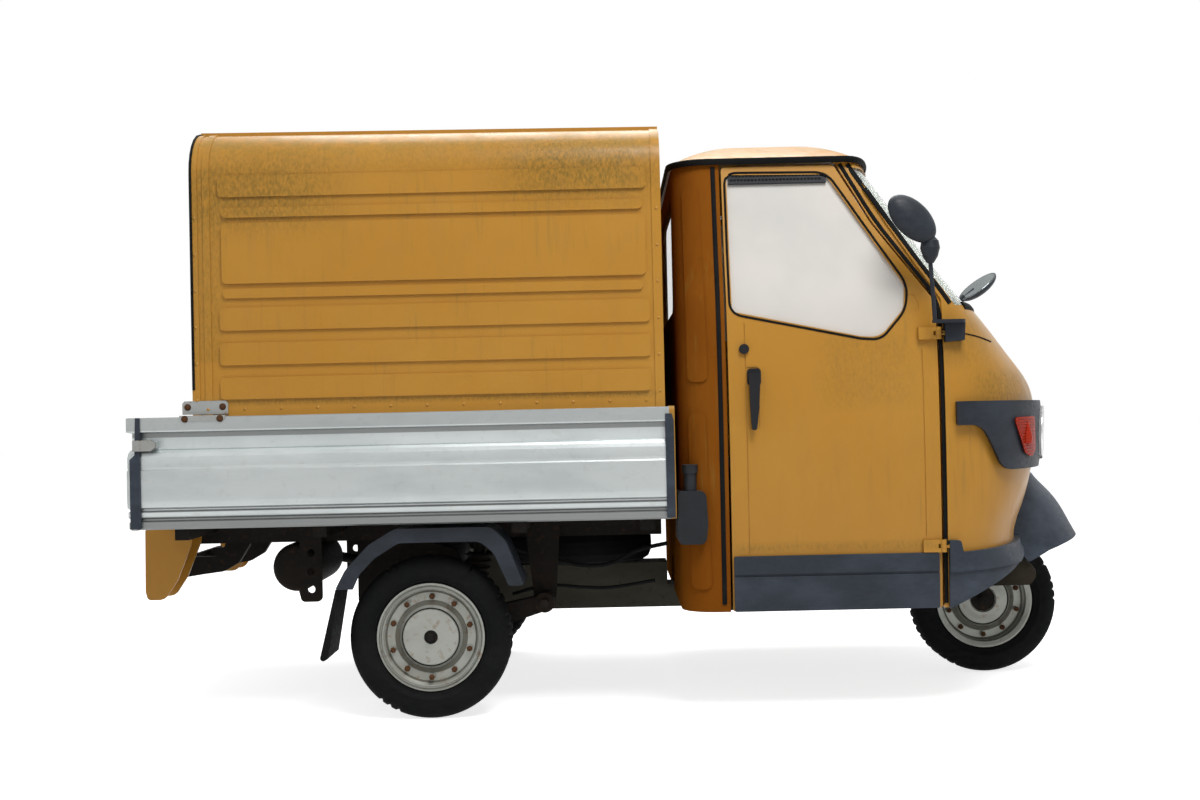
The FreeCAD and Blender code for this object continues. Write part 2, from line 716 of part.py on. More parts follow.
def tyre(centre, outward):
    """Plain tyre ring, rounded at its shoulders, its bead on the rim seat."""
    half = tyreWidth / 2
    outer, seat = tyreRadius, rimRadius - 12 + seatClearance
    profile = [(seat, -half * 0.60), (rimRadius + 1, -half * 0.62), (rimRadius + 6, -half * 0.78),
               (outer - 48, -half * 0.98), (outer - 28, -half), (outer - 12, -half * 0.86),
               (outer - 3, -half * 0.56), (outer, 0), (outer - 3, half * 0.56), (outer - 12, half * 0.86),
               (outer - 28, half), (outer - 48, half * 0.98), (rimRadius + 6, half * 0.78),
               (rimRadius + 1, half * 0.62), (seat, half * 0.60)]
    return turned(profile, centre, outward)


def rim(centre, outward, dish):
    """Pressed disc wheel: flanged barrel, stepped disc with its ring of nuts, and the hub."""
    half = tyreWidth / 2
    edge, barrel = rimRadius, rimRadius - 12
    wall = 4.0
    barrelProfile = [(barrel, -half * 0.62), (edge - 1, -half * 0.66), (edge, -half * 0.74),
                     (edge - 5, -half * 0.76), (barrel - wall, -half * 0.66), (barrel - wall, half * 0.66),
                     (edge - 5, half * 0.76), (edge, half * 0.74), (edge - 1, half * 0.66),
                     (barrel, half * 0.62)]
    ring = turned(barrelProfile, centre, outward)
    discProfile = [(hubBore, dish - 6), (34, dish - 6), (38, dish - 2), (76, dish - 2), (84, dish - 12),
                   (98, dish - 14), (118, dish - 14), (barrel - wall + 1, dish - 4),
                   (barrel - wall + 1, dish - 9),
                   (118, dish - 19), (98, dish - 19), (82, dish - 20), (72, dish - 44),
                   (hubBore, dish - 50)]
    disc = turned(discProfile, centre, outward)
    studs = []
    side = Vector(0, 0, 1)
    for i in range(5):
        spot = FreeCAD.Rotation(outward, 72 * i + 36).multVec(side) * 106
        studs.append(Part.makeCylinder(8, 12, centre + spot + outward * (dish - 16), outward))
    return fused([ring, disc] + studs)


damperTop = 450.0


def rearArm():
    """Right trailing arm with its pivot eye, hub carrier, stub axle and damper."""
    armY = -(rearTrack / 2 - 112)
    hub = Vector(rearAxleX, 0, axleHeight)
    side = [(rearAxleX - 30, axleHeight - 34), (rearAxleX + 60, axleHeight - 30), (-236, 262), (-236, 306),
            (rearAxleX + 90, axleHeight + 46), (rearAxleX - 30, axleHeight + 36)]
    beam = prismAlongY(side, armY - 20, armY + 20, [20, 10, 12, 12, 20, 24])
    eye = Part.makeCylinder(27, 64, Vector(-244, armY - 32, 284), Vector(0, 1, 0))
    carrier = Part.makeCylinder(46, 52, Vector(hub.x, armY - 46, hub.z), Vector(0, 1, 0))
    axle = Part.makeCylinder(axleRadius, 150, Vector(hub.x, armY - 150, hub.z), Vector(0, 1, 0))
    foot, head = Vector(-452, armY, 238), Vector(-417, armY, damperTop + 4)
    damper = rodBetween(foot, head, 16).cut(boxBetween(-500, -300, armY - 50, armY + 50,
                                                       damperTop - seatClearance, damperTop + 50))
    spring = rodBetween(foot + (head - foot) * 0.28, foot + (head - foot) * 0.84, 30)
    bolt = Part.makeCylinder(12, 40, Vector(-244, armY - 60, 284), Vector(0, 1, 0))
    return fused([beam, eye, carrier, axle, damper, spring, bolt])


# Chassis

railTop = bedFloorTop - bedFloorThickness - seatClearance
railHeight = 66.0
railY = 300.0
railHalfWidth = 22.0
railInner = railY - railHalfWidth - seatClearance
railOuter = railY + railHalfWidth + seatClearance
beamBottom = 218.0
beamTop = 350.0
neckX = -456.0
uprightX = (-924.0, -864.0)
uprightY = 352.0
uprightHoleRadius = 11.0
uprightHoleHeights = (325.0, 375.0, 425.0)
uprightThickness = 10.0
outriggerX = (-820.0, -300.0)
frontCrossingX = bedFront - 60
rearCrossingX = -1220.0
crossBarHalfWidth = 22.0
rearOutriggerX = -1180.0
silencerX = -948.0


def crossBar(x):
    return boxBetween(x - crossBarHalfWidth, x + crossBarHalfWidth, -railInner, railInner,
                      railTop - railHeight, railTop - 2)


def chassisFrame():
    """Central beam under the cab floor, its length under the bed, and the neck with its cross bar."""
    beam = boxBetween(neckX, 780, -beamHalfWidth, beamHalfWidth, beamBottom,
                      floorTop - floorThickness - seatClearance)
    stand = boxBetween(neckX, cabRear - 20, -beamHalfWidth, beamHalfWidth, beamBottom, beamTop)
    neck = prismAlongY([(neckX, beamBottom), (neckX + 84, beamBottom), (neckX + 70, railTop - 4),
                        (neckX, railTop - 4)], -beamHalfWidth, beamHalfWidth)
    return fused([beam, stand, neck, crossBar(neckX + 36)])


def chassisRail():
    """Right rail under the bed, with the drilled upright behind the wheel and a tailgate hinge leaf."""
    rail = boxBetween(bedRear + 30, bedFront - 16, -railY - railHalfWidth, -railY + railHalfWidth,
                      railTop - railHeight, railTop)
    plate = prismAlongY([(uprightX[0], 290), (uprightX[1], 290), (uprightX[1], railTop - 4),
                         (uprightX[0], railTop - 4)], -uprightY, -uprightY + uprightThickness, [14, 14,
                                                                                                0, 0])
    web = boxBetween(uprightX[0], uprightX[1], -uprightY + 4, -railY, railTop - railHeight, railTop - 4)
    leaf = (tailgateAxis[0], rearCrossingX - crossBarHalfWidth - seatClearance,
            tailgateAxis[1] - 7, tailgateAxis[1] - 1)
    shape = fused([rail, plate, web, pinHinge(tailgateAxis, -tailgateHingeY, True, leaf)])
    for z in uprightHoleHeights:
        shape = shape.cut(Part.makeCylinder(uprightHoleRadius, uprightThickness + 20,
                                            Vector(sum(uprightX) / 2, -uprightY - 10, z), Vector(0, 1, 0)))
    return shape


def crossMembers():
    """Bars between the two rails, each a solid of its own."""
    bars = [crossBar(x) for x in (rearCrossingX, silencerX, frontCrossingX)]
    bars += [boxBetween(x - 18, x + 18, -railInner, railInner, railTop - 34,
                        railTop - 2) for x in outriggerX]
    bars.append(boxBetween(-560, -500, -railInner, railInner, railTop - railHeight, railTop - 2))
    return Part.makeCompound(bars)


def outriggers():
    """Right side brackets outside the rail: bed supports, and the mounts of the rear arm and its damper."""
    outer = -(bedHalfWidth - 45)
    arms = [boxBetween(x - 18, x + 18, outer, -railOuter, railTop - 34, railTop - 2)
            for x in (rearOutriggerX, frontCrossingX) + outriggerX]
    pivotY = rearTrack / 2 - 112
    plate = prismAlongY([(-272, 262), (-216, 262), (-200, railTop - 6), (-300, railTop - 6)],
                        -pivotY + 33, -pivotY + 43, [20, 20, 0, 0])
    mount = boxBetween(-300, -200, -pivotY + 33, -railOuter, railTop - 34, railTop - 6)
    damperMount = boxBetween(-452, -386, -pivotY - 30, -railOuter, damperTop, railTop - 8)
    return Part.makeCompound(arms[:-1] + [fused([arms[-1], plate, mount]), damperMount])


def rearGuard():
    """Two J-shaped straps below the tailgate, with their tie bar and the bar for a blank plate."""
    top = railTop - 30
    outline = [(-1322, 342), (-1246, 353), (-1188, 360), (-1144, 385), (-1113, 434), (-1113, top),
               (-1165, top), (-1187, 427), (-1213, 404), (-1301, 404), (-1322, 384)]
    straps = [prismAlongY(outline, s * 150 - 12, s * 150 + 12, [6, 0, 20, 24, 24, 0, 0, 24, 20, 10, 6])
              for s in (-1, 1)]
    tie = boxBetween(-1161, -1117, -railInner, railInner, railTop - railHeight, railTop - 22)
    plateBar = prismAlongX([(-286, 350), (286, 350), (286, 398), (-286, 398)], -1326, -1316, 8)
    return fused(straps + [tie, plateBar])


def engineBlock():
    """Engine and gearbox as one plain mass between the rear wheels, with its two drive shafts."""
    block = prismAlongY([(-800, 250), (-610, 218), (-500, 240), (-500, 400),
                         (-640, railTop - railHeight - 4),
                         (-800, railTop - railHeight - 4)], -150, 150, 24)
    hub = Vector(rearAxleX, 0, axleHeight)
    inner = rearTrack / 2 - 112 - 20 - seatClearance
    shaft = Part.makeCylinder(14, 2 * inner, Vector(hub.x, -inner, hub.z), Vector(0, 1, 0))
    gaiters = [Part.makeCone(34, 18, 60, Vector(hub.x, s * 140, hub.z), Vector(0, s, 0)) for s in (-1, 1)]
    return fused([block, shaft] + gaiters)


def silencer():
    height = 380.0
    can = rodBetween(Vector(silencerX, -292, height), Vector(silencerX, 60, height), 68)
    can = can.makeFillet(16, [e for e in can.Edges if e.Curve.TypeId == "Part::GeomCircle"])
    pipe = tubeAlong([Vector(silencerX, 20, height), Vector(silencerX, 110, height),
                      Vector(-800.3, 124, 350)],
                     15, 40)
    tail = rodBetween(Vector(silencerX, -240, height - 40), Vector(silencerX + 14, -240, 286), 13)
    hanger = boxBetween(silencerX - 12, silencerX + 12, -140, -110, height,
                        railTop - railHeight - seatClearance)
    pipe = pipe.cut(boxBetween(-800.3, -700, 0, 300, 200, 500))
    return fused([can, tail, hanger, pipe])


def spareWheel():
    """Spare lying flat under the front of the bed, tyre and rim as one solid."""
    half = 48.0
    centre = Vector(-152, 0, railTop - railHeight - half - seatClearance)
    profile = [(0, -8), (100, -8), (126, -26), (136, -34), (165, -half), (188, -half), (204, -half * 0.8),
               (212, -half * 0.4), (213, 0), (212, half * 0.4), (204, half * 0.8), (188, half), (165, half),
               (136, 34), (126, 26), (100, 4), (0, 4)]
    return turned(profile, centre, Vector(0, 0, 1))


def fuelTank():
    tank = prismAlongY([(bedFront + headboardThickness + 4, 450), (186, 450), (192, 500), (188, 588),
                        (bedFront + headboardThickness + 4, 588)], -618, -470, [14, 18, 10, 18, 14])
    neck = Part.makeCylinder(17, 62, Vector(148, -596, 584), Vector(0, 0, 1))
    cap = Part.makeCylinder(21, 22, Vector(148, -596, 634), Vector(0, 0, 1))
    return fused([tank, neck, cap]).cut(cabForm(seatClearance + 4))


fenderOuter = [(-779, 351), (-752, 402), (-690, 466), (-622, 506), (-372, 506), (-334, 471), (-288, 353)]
fenderY = (440.0, 605.0)
fenderWall = 6.0


def fender():
    """Right rear mudguard: arch over the wheel, its outer lip, and the rubber flap behind."""
    y0, y1 = -fenderY[0], -fenderY[1]
    radii = [4, 60, 80, 50, 36, 60, 4]
    arch = prismAlongY(fenderOuter, y0, y1, radii)
    wall = fenderWall
    inner = [(-779 + wall * 1.2, 340), (-752 + wall, 402 - wall * 0.4), (-690 + wall * 0.5, 466 - wall),
             (-622 + 1, 506 - wall), (-372 - 1, 506 - wall),
             (-334 - wall, 471 - wall * 0.6), (-288 - wall * 1.2, 340)]
    hollow = prismAlongY(inner, y0 + 10, y1 + wall, [0, 56, 76, 46, 32, 56, 0])
    lipHole = prismAlongY([(-738, 340), (-716, 388), (-676, 430), (-612, 469), (-402, 469), (-366, 440),
                           (-322, 340)],
                          y0 + 10, y1 - 10, [0, 50, 60, 40, 40, 50, 0])
    shell = arch.cut(hollow).cut(lipHole)
    flapTop = fenderOuter[0][1] - seatClearance
    flap = prismAlongY([(-779, flapTop), (-771, flapTop), (-802, 172), (-826, 158)],
                       -450, -600, [0, 0, 6, 8])
    bracket = boxBetween(-560, -520, y0 - 20, y0, 495, bedFloorTop - bedFloorThickness - seatClearance)
    shell = fused([shell, bracket])
    return shell, flap.cut(arch)


# Bed

def bedProfile(y0):
    """Section of the bed's pressed aluminium side: y0 is its outer plane, inwards is positive."""
    inner = y0 + bedSideThickness
    railInner = y0 + bedRailWidth
    foot, head = bedSideBottom, bedSideTop
    return [(y0 + 12, foot), (y0 + 5, foot + 4), (y0 + 5, foot + 20), (y0 + 11, foot + 24),
            (y0 + 11, foot + 28), (y0 + 3, foot + 33), (y0 + 3, foot + 46), (y0 + 8, foot + 49),
            (y0 + 8, foot + 53), (y0 + 1, foot + 58), (y0, foot + 74), (y0, foot + 152), (y0 + 3, foot + 156),
            (y0 + 2, foot + 162), (y0 + 2, foot + 188), (y0 + 5, foot + 198), (y0 + 10, foot + 205),
            (y0 + 16, foot + 208), (y0 + 16, head - 40), (y0, head - 37), (y0, head - 2), (y0 + 2, head),
            (railInner, head), (railInner, head - 30), (inner, head - 44), (inner, foot)]


def bedSide():
    """Right drop side, with the hook plate of the tailgate latch at its rear end."""
    section = prismAlongX(bedProfile(-bedHalfWidth), bedRear, bedFront - seatClearance, 0)
    latch = boxBetween(bedRear + 4, bedRear + 48, -bedHalfWidth - 1, -bedHalfWidth + 22,
                       bedSideTop - 78, bedSideTop - 60)
    return fused([section, latch])


def bedFloor():
    half = bedHalfWidth - bedSideThickness - seatClearance
    plate = boxBetween(bedRear, bedFront - seatClearance, -half, half, bedFloorTop - bedFloorThickness,
                       bedFloorTop)
    return plate


def headboard():
    return prismAlongX([(-(bedHalfWidth - 8), bedSideBottom), (bedHalfWidth - 8, bedSideBottom),
                        (bedHalfWidth - 8, bedSideTop + 2), (-(bedHalfWidth - 8), bedSideTop + 2)],
                       bedFront, bedFront + headboardThickness, 10)


tailgateX = bedRear - movingGap


def tailgate():
    """Drop tailgate of the same pressed section, turned to close the rear of the bed."""
    outerX = tailgateX - bedSideThickness
    section = [(x, z) for x, z in bedProfile(0)]
    trimmed = [(outerX + min(x, bedSideThickness), z) for x, z in section]
    outline = []
    for point in trimmed:
        if not outline or (abs(point[0] - outline[-1][0]) + abs(point[1] - outline[-1][1])) > 0.5:
            outline.append(point)
    panel = prismAlongY(outline, -bedHalfWidth, bedHalfWidth, 0)
    leaf = (tailgateAxis[0] - 3, outerX + 8, tailgateAxis[1], bedSideBottom + 48)
    hinges = [pinHinge(tailgateAxis, side * tailgateHingeY, False, leaf) for side in (-1, 1)]
    return fused([panel] + hinges)


# Canopy

# rear end, front end, foot and head of each pressed rib
canopyRibs = [(-1066, 52, 851, 908), (-1066, 54, 940, 998), (-1065, 54, 1030, 1090),
              (-1056, 38, 1114, 1139),
              (-1058, 46, 1152, 1310), (-1057, 40, 1324, 1350), (-1066, 50, 1378, 1434)]


def canopySection(x, height, inset):
    half, top, corner = canopyHalfWidth - inset, height - inset, canopyCorner - inset
    bottom = bedSideTop + seatClearance - (0 if inset == 0 else 40)
    bend = corner * (1 - math.sqrt(0.5))
    right = [Vector(x, -half, bottom), Vector(x, -half, top - corner), Vector(x, -half + bend, top - bend),
             Vector(x, -half + corner, top)]
    left = [Vector(x, -p.y, p.z) for p in right]
    return Part.Wire([
        Part.makeLine(right[0], right[1]), Part.Arc(right[1], right[2], right[3]).toShape(),
        Part.makeLine(right[3], left[3]), Part.Arc(left[3], left[2], left[1]).toShape(),
        Part.makeLine(left[1], left[0]), Part.makeLine(left[0], right[0])])


def heightAt(x):
    share = (x - canopyRear) / (canopyFront - canopyRear)
    return canopyHeightRear + (canopyHeightFront - canopyHeightRear) * share


def canopyForm(x0, x1, inset):
    return Part.makeLoft([canopySection(x0, heightAt(x0), inset), canopySection(x1, heightAt(x1), inset)],
                         True, True)


def canopyShell():
    outer = canopyForm(canopyRear, canopyFront, 0)
    bands = [canopyForm(canopyRear, canopyRear + 20, -3), canopyForm(canopyRear + 34, canopyRear + 52, -3),
             canopyForm(canopyFront - 24, canopyFront, -3)]
    cutFoot = boxBetween(-2000, 2000, -wide, wide, 0, bedSideTop + seatClearance)
    bands = [b.cut(cutFoot) for b in bands]
    inner = canopyForm(canopyRear + canopyWall, canopyFront - canopyWall, canopyWall)
    ribs = []
    for x0, x1, z0, z1 in canopyRibs:
        radius = 12 if z1 - z0 > 30 else (z1 - z0) / 2 - 0.5
        for side in (-1, 1):
            ribs.append(prismAlongY([(x0, z0), (x1, z0), (x1, z1), (x0, z1)], side * (canopyHalfWidth - 8),
                                    side * (canopyHalfWidth + ribRise), radius))
    gutters = []
    for side in (-1, 1):
        gutterY = canopyHalfWidth - canopyCorner
        strip = prismAlongY([(canopyRear, heightAt(canopyRear) - 6), (canopyFront,
                                                                      heightAt(canopyFront) - 6),
                             (canopyFront, heightAt(canopyFront) + 12), (canopyRear,
                                                                         heightAt(canopyRear) + 12)],
                            side * gutterY, side * (gutterY - 5), 0)
        gutters.append(strip)
    shell = fused([outer] + bands + ribs + gutters).cut(inner)
    opening = prismAlongX([(-hatchHalfWidth - movingGap, hatchBottom - movingGap),
                           (hatchHalfWidth + movingGap, hatchBottom - movingGap),
                           (hatchHalfWidth + movingGap, hatchTop + movingGap),
                           (-hatchHalfWidth - movingGap, hatchTop + movingGap)],
                          canopyRear - 30, canopyRear + canopyWall + 10, 30)
    leaf = (hatchAxis[0] - 1, canopyRear + 2, hatchAxis[1], hatchAxis[1] + 24)
    hinges = [pinHinge(hatchAxis, side * hatchHingeY, True, leaf) for side in (-1, 1)]
    return fused([shell.cut(opening)] + hinges)


def pinHinge(axis, centreY, forFrame, leaf):
    """Cross hinge along Y: outer knuckles and pin on one side, middle knuckle on the other."""
    knuckle, pin = 7.0, 4.0
    shapes = []
    spans = ((-30.0, -10.4), (10.4, 30.0)) if forFrame else ((-10.0, 10.0),)
    for low, high in spans:
        end = Vector(axis[0], centreY + low, axis[1])
        shapes.append(Part.makeCylinder(knuckle, high - low, end, Vector(0, 1, 0)))
        shapes.append(boxBetween(leaf[0], leaf[1], centreY + low, centreY + high, leaf[2], leaf[3]))
    bore = Part.makeCylinder(pin + seatClearance, 80, Vector(axis[0], centreY - 40, axis[1]),
                             Vector(0, 1, 0))
    if forFrame:
        shapes.append(Part.makeCylinder(pin, 60, Vector(axis[0], centreY - 30, axis[1]), Vector(0, 1, 0)))
        return fused(shapes)
    return fused(shapes).cut(bore)


def canopyHatch():
    """Lift-up rear hatch, hinged at its head."""
    panel = prismAlongX([(-hatchHalfWidth, hatchBottom), (hatchHalfWidth, hatchBottom),
                         (hatchHalfWidth, hatchTop), (-hatchHalfWidth, hatchTop)],
                        canopyRear, canopyRear + canopyWall, 25)
    raised = prismAlongX([(-hatchHalfWidth + 70, hatchBottom + 70), (hatchHalfWidth - 70, hatchBottom + 70),
                          (hatchHalfWidth - 70, hatchTop - 70), (-hatchHalfWidth + 70, hatchTop - 70)],
                         canopyRear - 4, canopyRear + 5, 40)
    leaf = (hatchAxis[0] - 1, canopyRear + 2, hatchTop - 26, hatchTop + movingGap - 1)
    hinges = [pinHinge(hatchAxis, side * hatchHingeY, False, leaf) for side in (-1, 1)]
    return fused([panel, raised] + hinges)


# Tail lamps

finOutline = [(-1330, bedSideBottom - 14), (-1199, bedSideBottom - 14), (-1205, 461), (-1243, 366),
              (-1279, 312),
              (-1326, 312), (-1332, 335)]
finY = (420.0, railY + 22 + seatClearance)


def lampBrackets():
    radii = [4, 4, 10, 40, 30, 12, 12]
    plates = [prismAlongY(finOutline, -finY[0], -finY[0] + 5, radii), prismAlongY(finOutline, -finY[1],
                                                                                  -finY[1] - 5, radii)]
    web = boxBetween(-1262, -1258, -finY[0] + 2, -finY[1] - 2, 400, bedSideBottom - 16)
    top = boxBetween(-1326, -1205, -finY[0] + 2, -finY[1] - 2, bedSideBottom - 18, bedSideBottom - 14)
    return fused(plates + [web, top])


def tailLamp():
    return prismAlongX([(-finY[0] + 8, 404), (-finY[1] - 8, 404), (-finY[1] - 8, 496), (-finY[0] + 8, 496)],
                       -1326, -1262 - seatClearance, 8)


# Export

export("cab_rear_wall", rearWall())
export("cab_roof", roof())
export("nose_panel", nosePanel())
windscreen, rearGlass = cabGlass()
export("windscreen", windscreen)
export("rear_window", rearGlass)
export("cab_floor", cabFloorPan())
export("seat_cushion", seatCushion())
export("seat_back", seatBack())
export("dashboard", dashboard())
export("lamp_clusters", pair(lampCluster()))
export("headlamps", pair(headlamp()))
export("indicators", pair(indicator()))
export("front_skirts", pair(frontSkirt()))
export("front_mudguard", frontMudguard())
export("mirrors", mirrors())

for name, side in (("right", -1), ("left", 1)):
    export("door_" + name + "_panel", doorPanel(side))
    export("door_" + name + "_glass", doorGlass(side))
    export("door_" + name + "_trim", doorTrim(side))

export("front_fork", frontFork())
export("handlebar", handlebar())
frontHub = Vector(frontAxleX, 0, axleHeight)
export("front_tyre", tyre(frontHub, Vector(0, -1, 0)))
export("front_rim", rim(frontHub, Vector(0, -1, 0), 20))
for name, side in (("right", -1), ("left", 1)):
    hub = Vector(rearAxleX, side * rearTrack / 2, axleHeight)
    export("rear_" + name + "_tyre", tyre(hub, Vector(0, side, 0)))
    export("rear_" + name + "_rim", rim(hub, Vector(0, side, 0), 34))

export("rear_right_arm", rearArm())
export("rear_left_arm", mirrored(rearArm()))
export("chassis_frame", chassisFrame())
export("chassis_rails", pair(chassisRail()))
export("cross_members", crossMembers())
export("outriggers", pair(outriggers()))
export("rear_guard", rearGuard())
export("engine_block", engineBlock())
export("silencer", silencer())
export("spare_wheel", spareWheel())
export("fuel_tank", fuelTank())
fenderShell, flap = fender()
export("rear_fenders", pair(fenderShell))
export("mudflaps", pair(flap))

export("bed_floor", bedFloor())
export("bed_right_side", bedSide())
export("bed_left_side", mirrored(bedSide()))
export("bed_headboard", headboard())
export("tailgate", tailgate())
export("canopy_shell", canopyShell())
export("canopy_hatch", canopyHatch())
export("tail_lamp_brackets", pair(lampBrackets()))
export("tail_lamps", pair(tailLamp()))
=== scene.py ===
import bmesh
import bpy
import math
from mathutils import Matrix, Vector
from mathutils.bvhtree import BVHTree


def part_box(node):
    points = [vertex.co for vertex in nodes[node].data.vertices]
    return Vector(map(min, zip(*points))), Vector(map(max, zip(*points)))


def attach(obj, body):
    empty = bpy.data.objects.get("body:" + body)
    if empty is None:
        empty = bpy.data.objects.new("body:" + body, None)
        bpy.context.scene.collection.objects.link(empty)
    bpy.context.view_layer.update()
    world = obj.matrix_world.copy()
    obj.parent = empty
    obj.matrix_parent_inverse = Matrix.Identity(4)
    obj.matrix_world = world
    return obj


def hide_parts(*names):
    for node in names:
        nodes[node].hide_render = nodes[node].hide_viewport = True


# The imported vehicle, in metres: X forward, Y to its left, Z up from the ground
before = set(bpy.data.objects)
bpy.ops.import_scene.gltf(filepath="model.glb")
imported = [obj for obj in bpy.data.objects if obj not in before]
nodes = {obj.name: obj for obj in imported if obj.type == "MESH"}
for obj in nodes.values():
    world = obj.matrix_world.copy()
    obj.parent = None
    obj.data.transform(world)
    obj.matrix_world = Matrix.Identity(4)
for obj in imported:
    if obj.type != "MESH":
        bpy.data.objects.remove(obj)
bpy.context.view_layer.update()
scene = bpy.context.scene
sides = (("right", -1), ("left", 1))
print("frame loaded,", len(nodes), "nodes")

# How far out a line starts that looks for a surface, and the spacing below which points are one
outside = 1.5
sameSpot = 0.00002


# One shader node, its inputs given by name or number and its settings by keyword; gives one of its outputs
def put(tree, kind, inputs=None, out=0, **settings):
    made = tree.nodes.new("ShaderNode" + kind)
    for key, value in settings.items():
        setattr(made, key, value)
    for key, value in (inputs or {}).items():
        if isinstance(value, bpy.types.NodeSocket):
            tree.links.new(value, made.inputs[key])
        else:
            made.inputs[key].default_value = value
    return made.outputs[out]


def calc(tree, operation, first, second, **settings):
    return put(tree, "Math", {0: first, 1: second}, operation=operation, **settings)


def newMaterial(name, colour, roughness, specular, sockets):
    material = bpy.data.materials.new(name)
    material.use_nodes = True
    shader = material.node_tree.nodes["Principled BSDF"]
    shader.inputs["Base Color"].default_value = (*colour, 1)
    shader.inputs["Roughness"].default_value = roughness
    shader.inputs["Specular IOR Level"].default_value = specular
    for label, value in sockets.items():
        shader.inputs[label].default_value = value
    return material, material.node_tree, shader


def newObject(name, data):
    made = bpy.data.objects.new(name, data)
    scene.collection.objects.link(made)
    return made


# Camera, floor and light
cameraView = dict(place=(-0.0588, -4.2629, 0.7812), lens=42.3, sensorWidth=36, yaw=-0.006, pitch=0.013,
    roll=0.022)
studio = dict(skyLight=0.32, white=(1, 1, 1, 1), floorHalf=40, floorColour=(0.8, 0.8, 0.8), floorRough=0.9,
    floorSpecular=0.1, floorGlow=0.76, lampAim=(0, 0, 0.7), lamps={"key": ((1.2, -3.2, 5), 2.2, 235),
    "fill": ((-4, -3, 3.2), 4, 40), "top": ((-0.2, 1.6, 4.6), 3, 130)})


def makeCamera(view):
    yaw, pitch, roll = view["yaw"], view["pitch"], view["roll"]
    forward = Vector((math.sin(yaw) * math.cos(pitch), math.cos(yaw) * math.cos(pitch), math.sin(pitch)))
    level = Vector((math.cos(yaw), -math.sin(yaw), 0))
    down = forward.cross(level)
    right = level * math.cos(roll) + down * math.sin(roll)
    up = level * math.sin(roll) - down * math.cos(roll)
    data = bpy.data.cameras.new("photoCamera")
    data.lens = view["lens"]
    data.sensor_width = view["sensorWidth"]
    turn = Matrix((right, up, -forward)).transposed().to_4x4()
    scene.camera = newObject("photoCamera", data)
    scene.camera.matrix_world = Matrix.Translation(view["place"]) @ turn


# 1 where the camera, a reflection or a view through glass sees the surface
def seenDirectly(tree):
    rays = put(tree, "LightPath").node.outputs
    either = calc(tree, "MAXIMUM", rays["Is Camera Ray"], rays["Is Glossy Ray"])
    return calc(tree, "MAXIMUM", either, rays["Is Transmission Ray"])


def makeStudio(look):
    scene.world = bpy.data.worlds.new("studio")
    scene.world.use_nodes = True
    tree = scene.world.node_tree
    background = tree.nodes["Background"]
    strength = put(tree, "Mix", {0: seenDirectly(tree), 2: look["skyLight"], 3: 1})
    tree.links.new(strength, background.inputs["Strength"])
    background.inputs["Color"].default_value = look["white"]

    half = look["floorHalf"]
    mesh = bpy.data.meshes.new("floor")
    corners = [(x, y, 0) for x, y in ((-half, -half), (half, -half), (half, half), (-half, half))]
    mesh.from_pydata(corners, [], [(0, 1, 2, 3)])
    material, tree, shader = newMaterial("floor", look["floorColour"], look["floorRough"],
                                         look["floorSpecular"], {"Emission Color": look["white"]})
    glow = calc(tree, "MULTIPLY", seenDirectly(tree), look["floorGlow"])
    tree.links.new(glow, shader.inputs["Emission Strength"])
    mesh.materials.append(material)
    newObject("floor", mesh)

    for name, (place, size, power) in look["lamps"].items():
        light = bpy.data.lights.new(name, "AREA")
        light.size, light.energy = size, power
        lamp = newObject(name, light)
        lamp.location = place
        lamp.rotation_euler = (Vector(look["lampAim"]) - lamp.location).to_track_quat("-Z", "Y").to_euler()
    scene.view_settings.view_transform = "Standard"


makeCamera(cameraView)
makeStudio(studio)
print("camera and studio made")


# Shader groups that the finishes share, each with one mask as its output
def newGroup(name, **inputs):
    tree = bpy.data.node_groups.new(name, "ShaderNodeTree")
    for label, value in inputs.items():
        tree.interface.new_socket(label, in_out="INPUT", socket_type="NodeSocketFloat").default_value = value
    tree.interface.new_socket("Mask", in_out="OUTPUT", socket_type="NodeSocketFloat")
    return tree, tree.nodes.new("NodeGroupInput").outputs


# The mask rises softly from 0 to 1 as the value goes from low to high
def endGroup(tree, value, low, high):
    mask = put(tree, "MapRange", {"Value": value, "From Min": low, "From Max": high},
               interpolation_type="SMOOTHSTEP")
    tree.links.new(mask, tree.nodes.new("NodeGroupOutput").inputs["Mask"])
    return tree


# Soft patches of one size, drawn out along X or Z by the stretches
def makePatchGroup():
    tree, given = newGroup("patches", Size=0.1, StretchX=1, StretchZ=1, Detail=4, Low=0.4, High=0.6, Shift=0)
    squeeze = put(tree, "CombineXYZ", {0: calc(tree, "DIVIDE", 1, given["StretchX"]), 1: 1,
                                       2: calc(tree, "DIVIDE", 1, given["StretchZ"])})
    place = put(tree, "TexCoord", out="Object")
    drawn = put(tree, "VectorMath", {0: place, 1: squeeze}, operation="MULTIPLY")
    scale = calc(tree, "DIVIDE", 1, given["Size"])
    noise = put(tree, "TexNoise", {"Vector": drawn, "W": given["Shift"], "Scale": scale,
                                   "Detail": given["Detail"], "Roughness": 0.6}, noise_dimensions="4D")
    return endGroup(tree, noise, given["Low"], given["High"])


# From one value of X, Y or Z to another
def makeRampGroup():
    tree, given = newGroup("alongAxis", X=0, Y=0, Z=1, From=0, To=1)
    axis = put(tree, "CombineXYZ", {0: given["X"], 1: given["Y"], 2: given["Z"]})
    place = put(tree, "TexCoord", out="Object")
    along = put(tree, "VectorMath", {0: place, 1: axis}, "Value", operation="DOT_PRODUCT")
    return endGroup(tree, along, given["From"], given["To"])


# On faces that look up, and not on upright ones
def makeUpwardGroup():
    tree, given = newGroup("facingUp", From=0.3, To=0.9)
    height = put(tree, "SeparateXYZ", {0: put(tree, "TexCoord", out="Normal")}, "Z")
    return endGroup(tree, height, given["From"], given["To"])


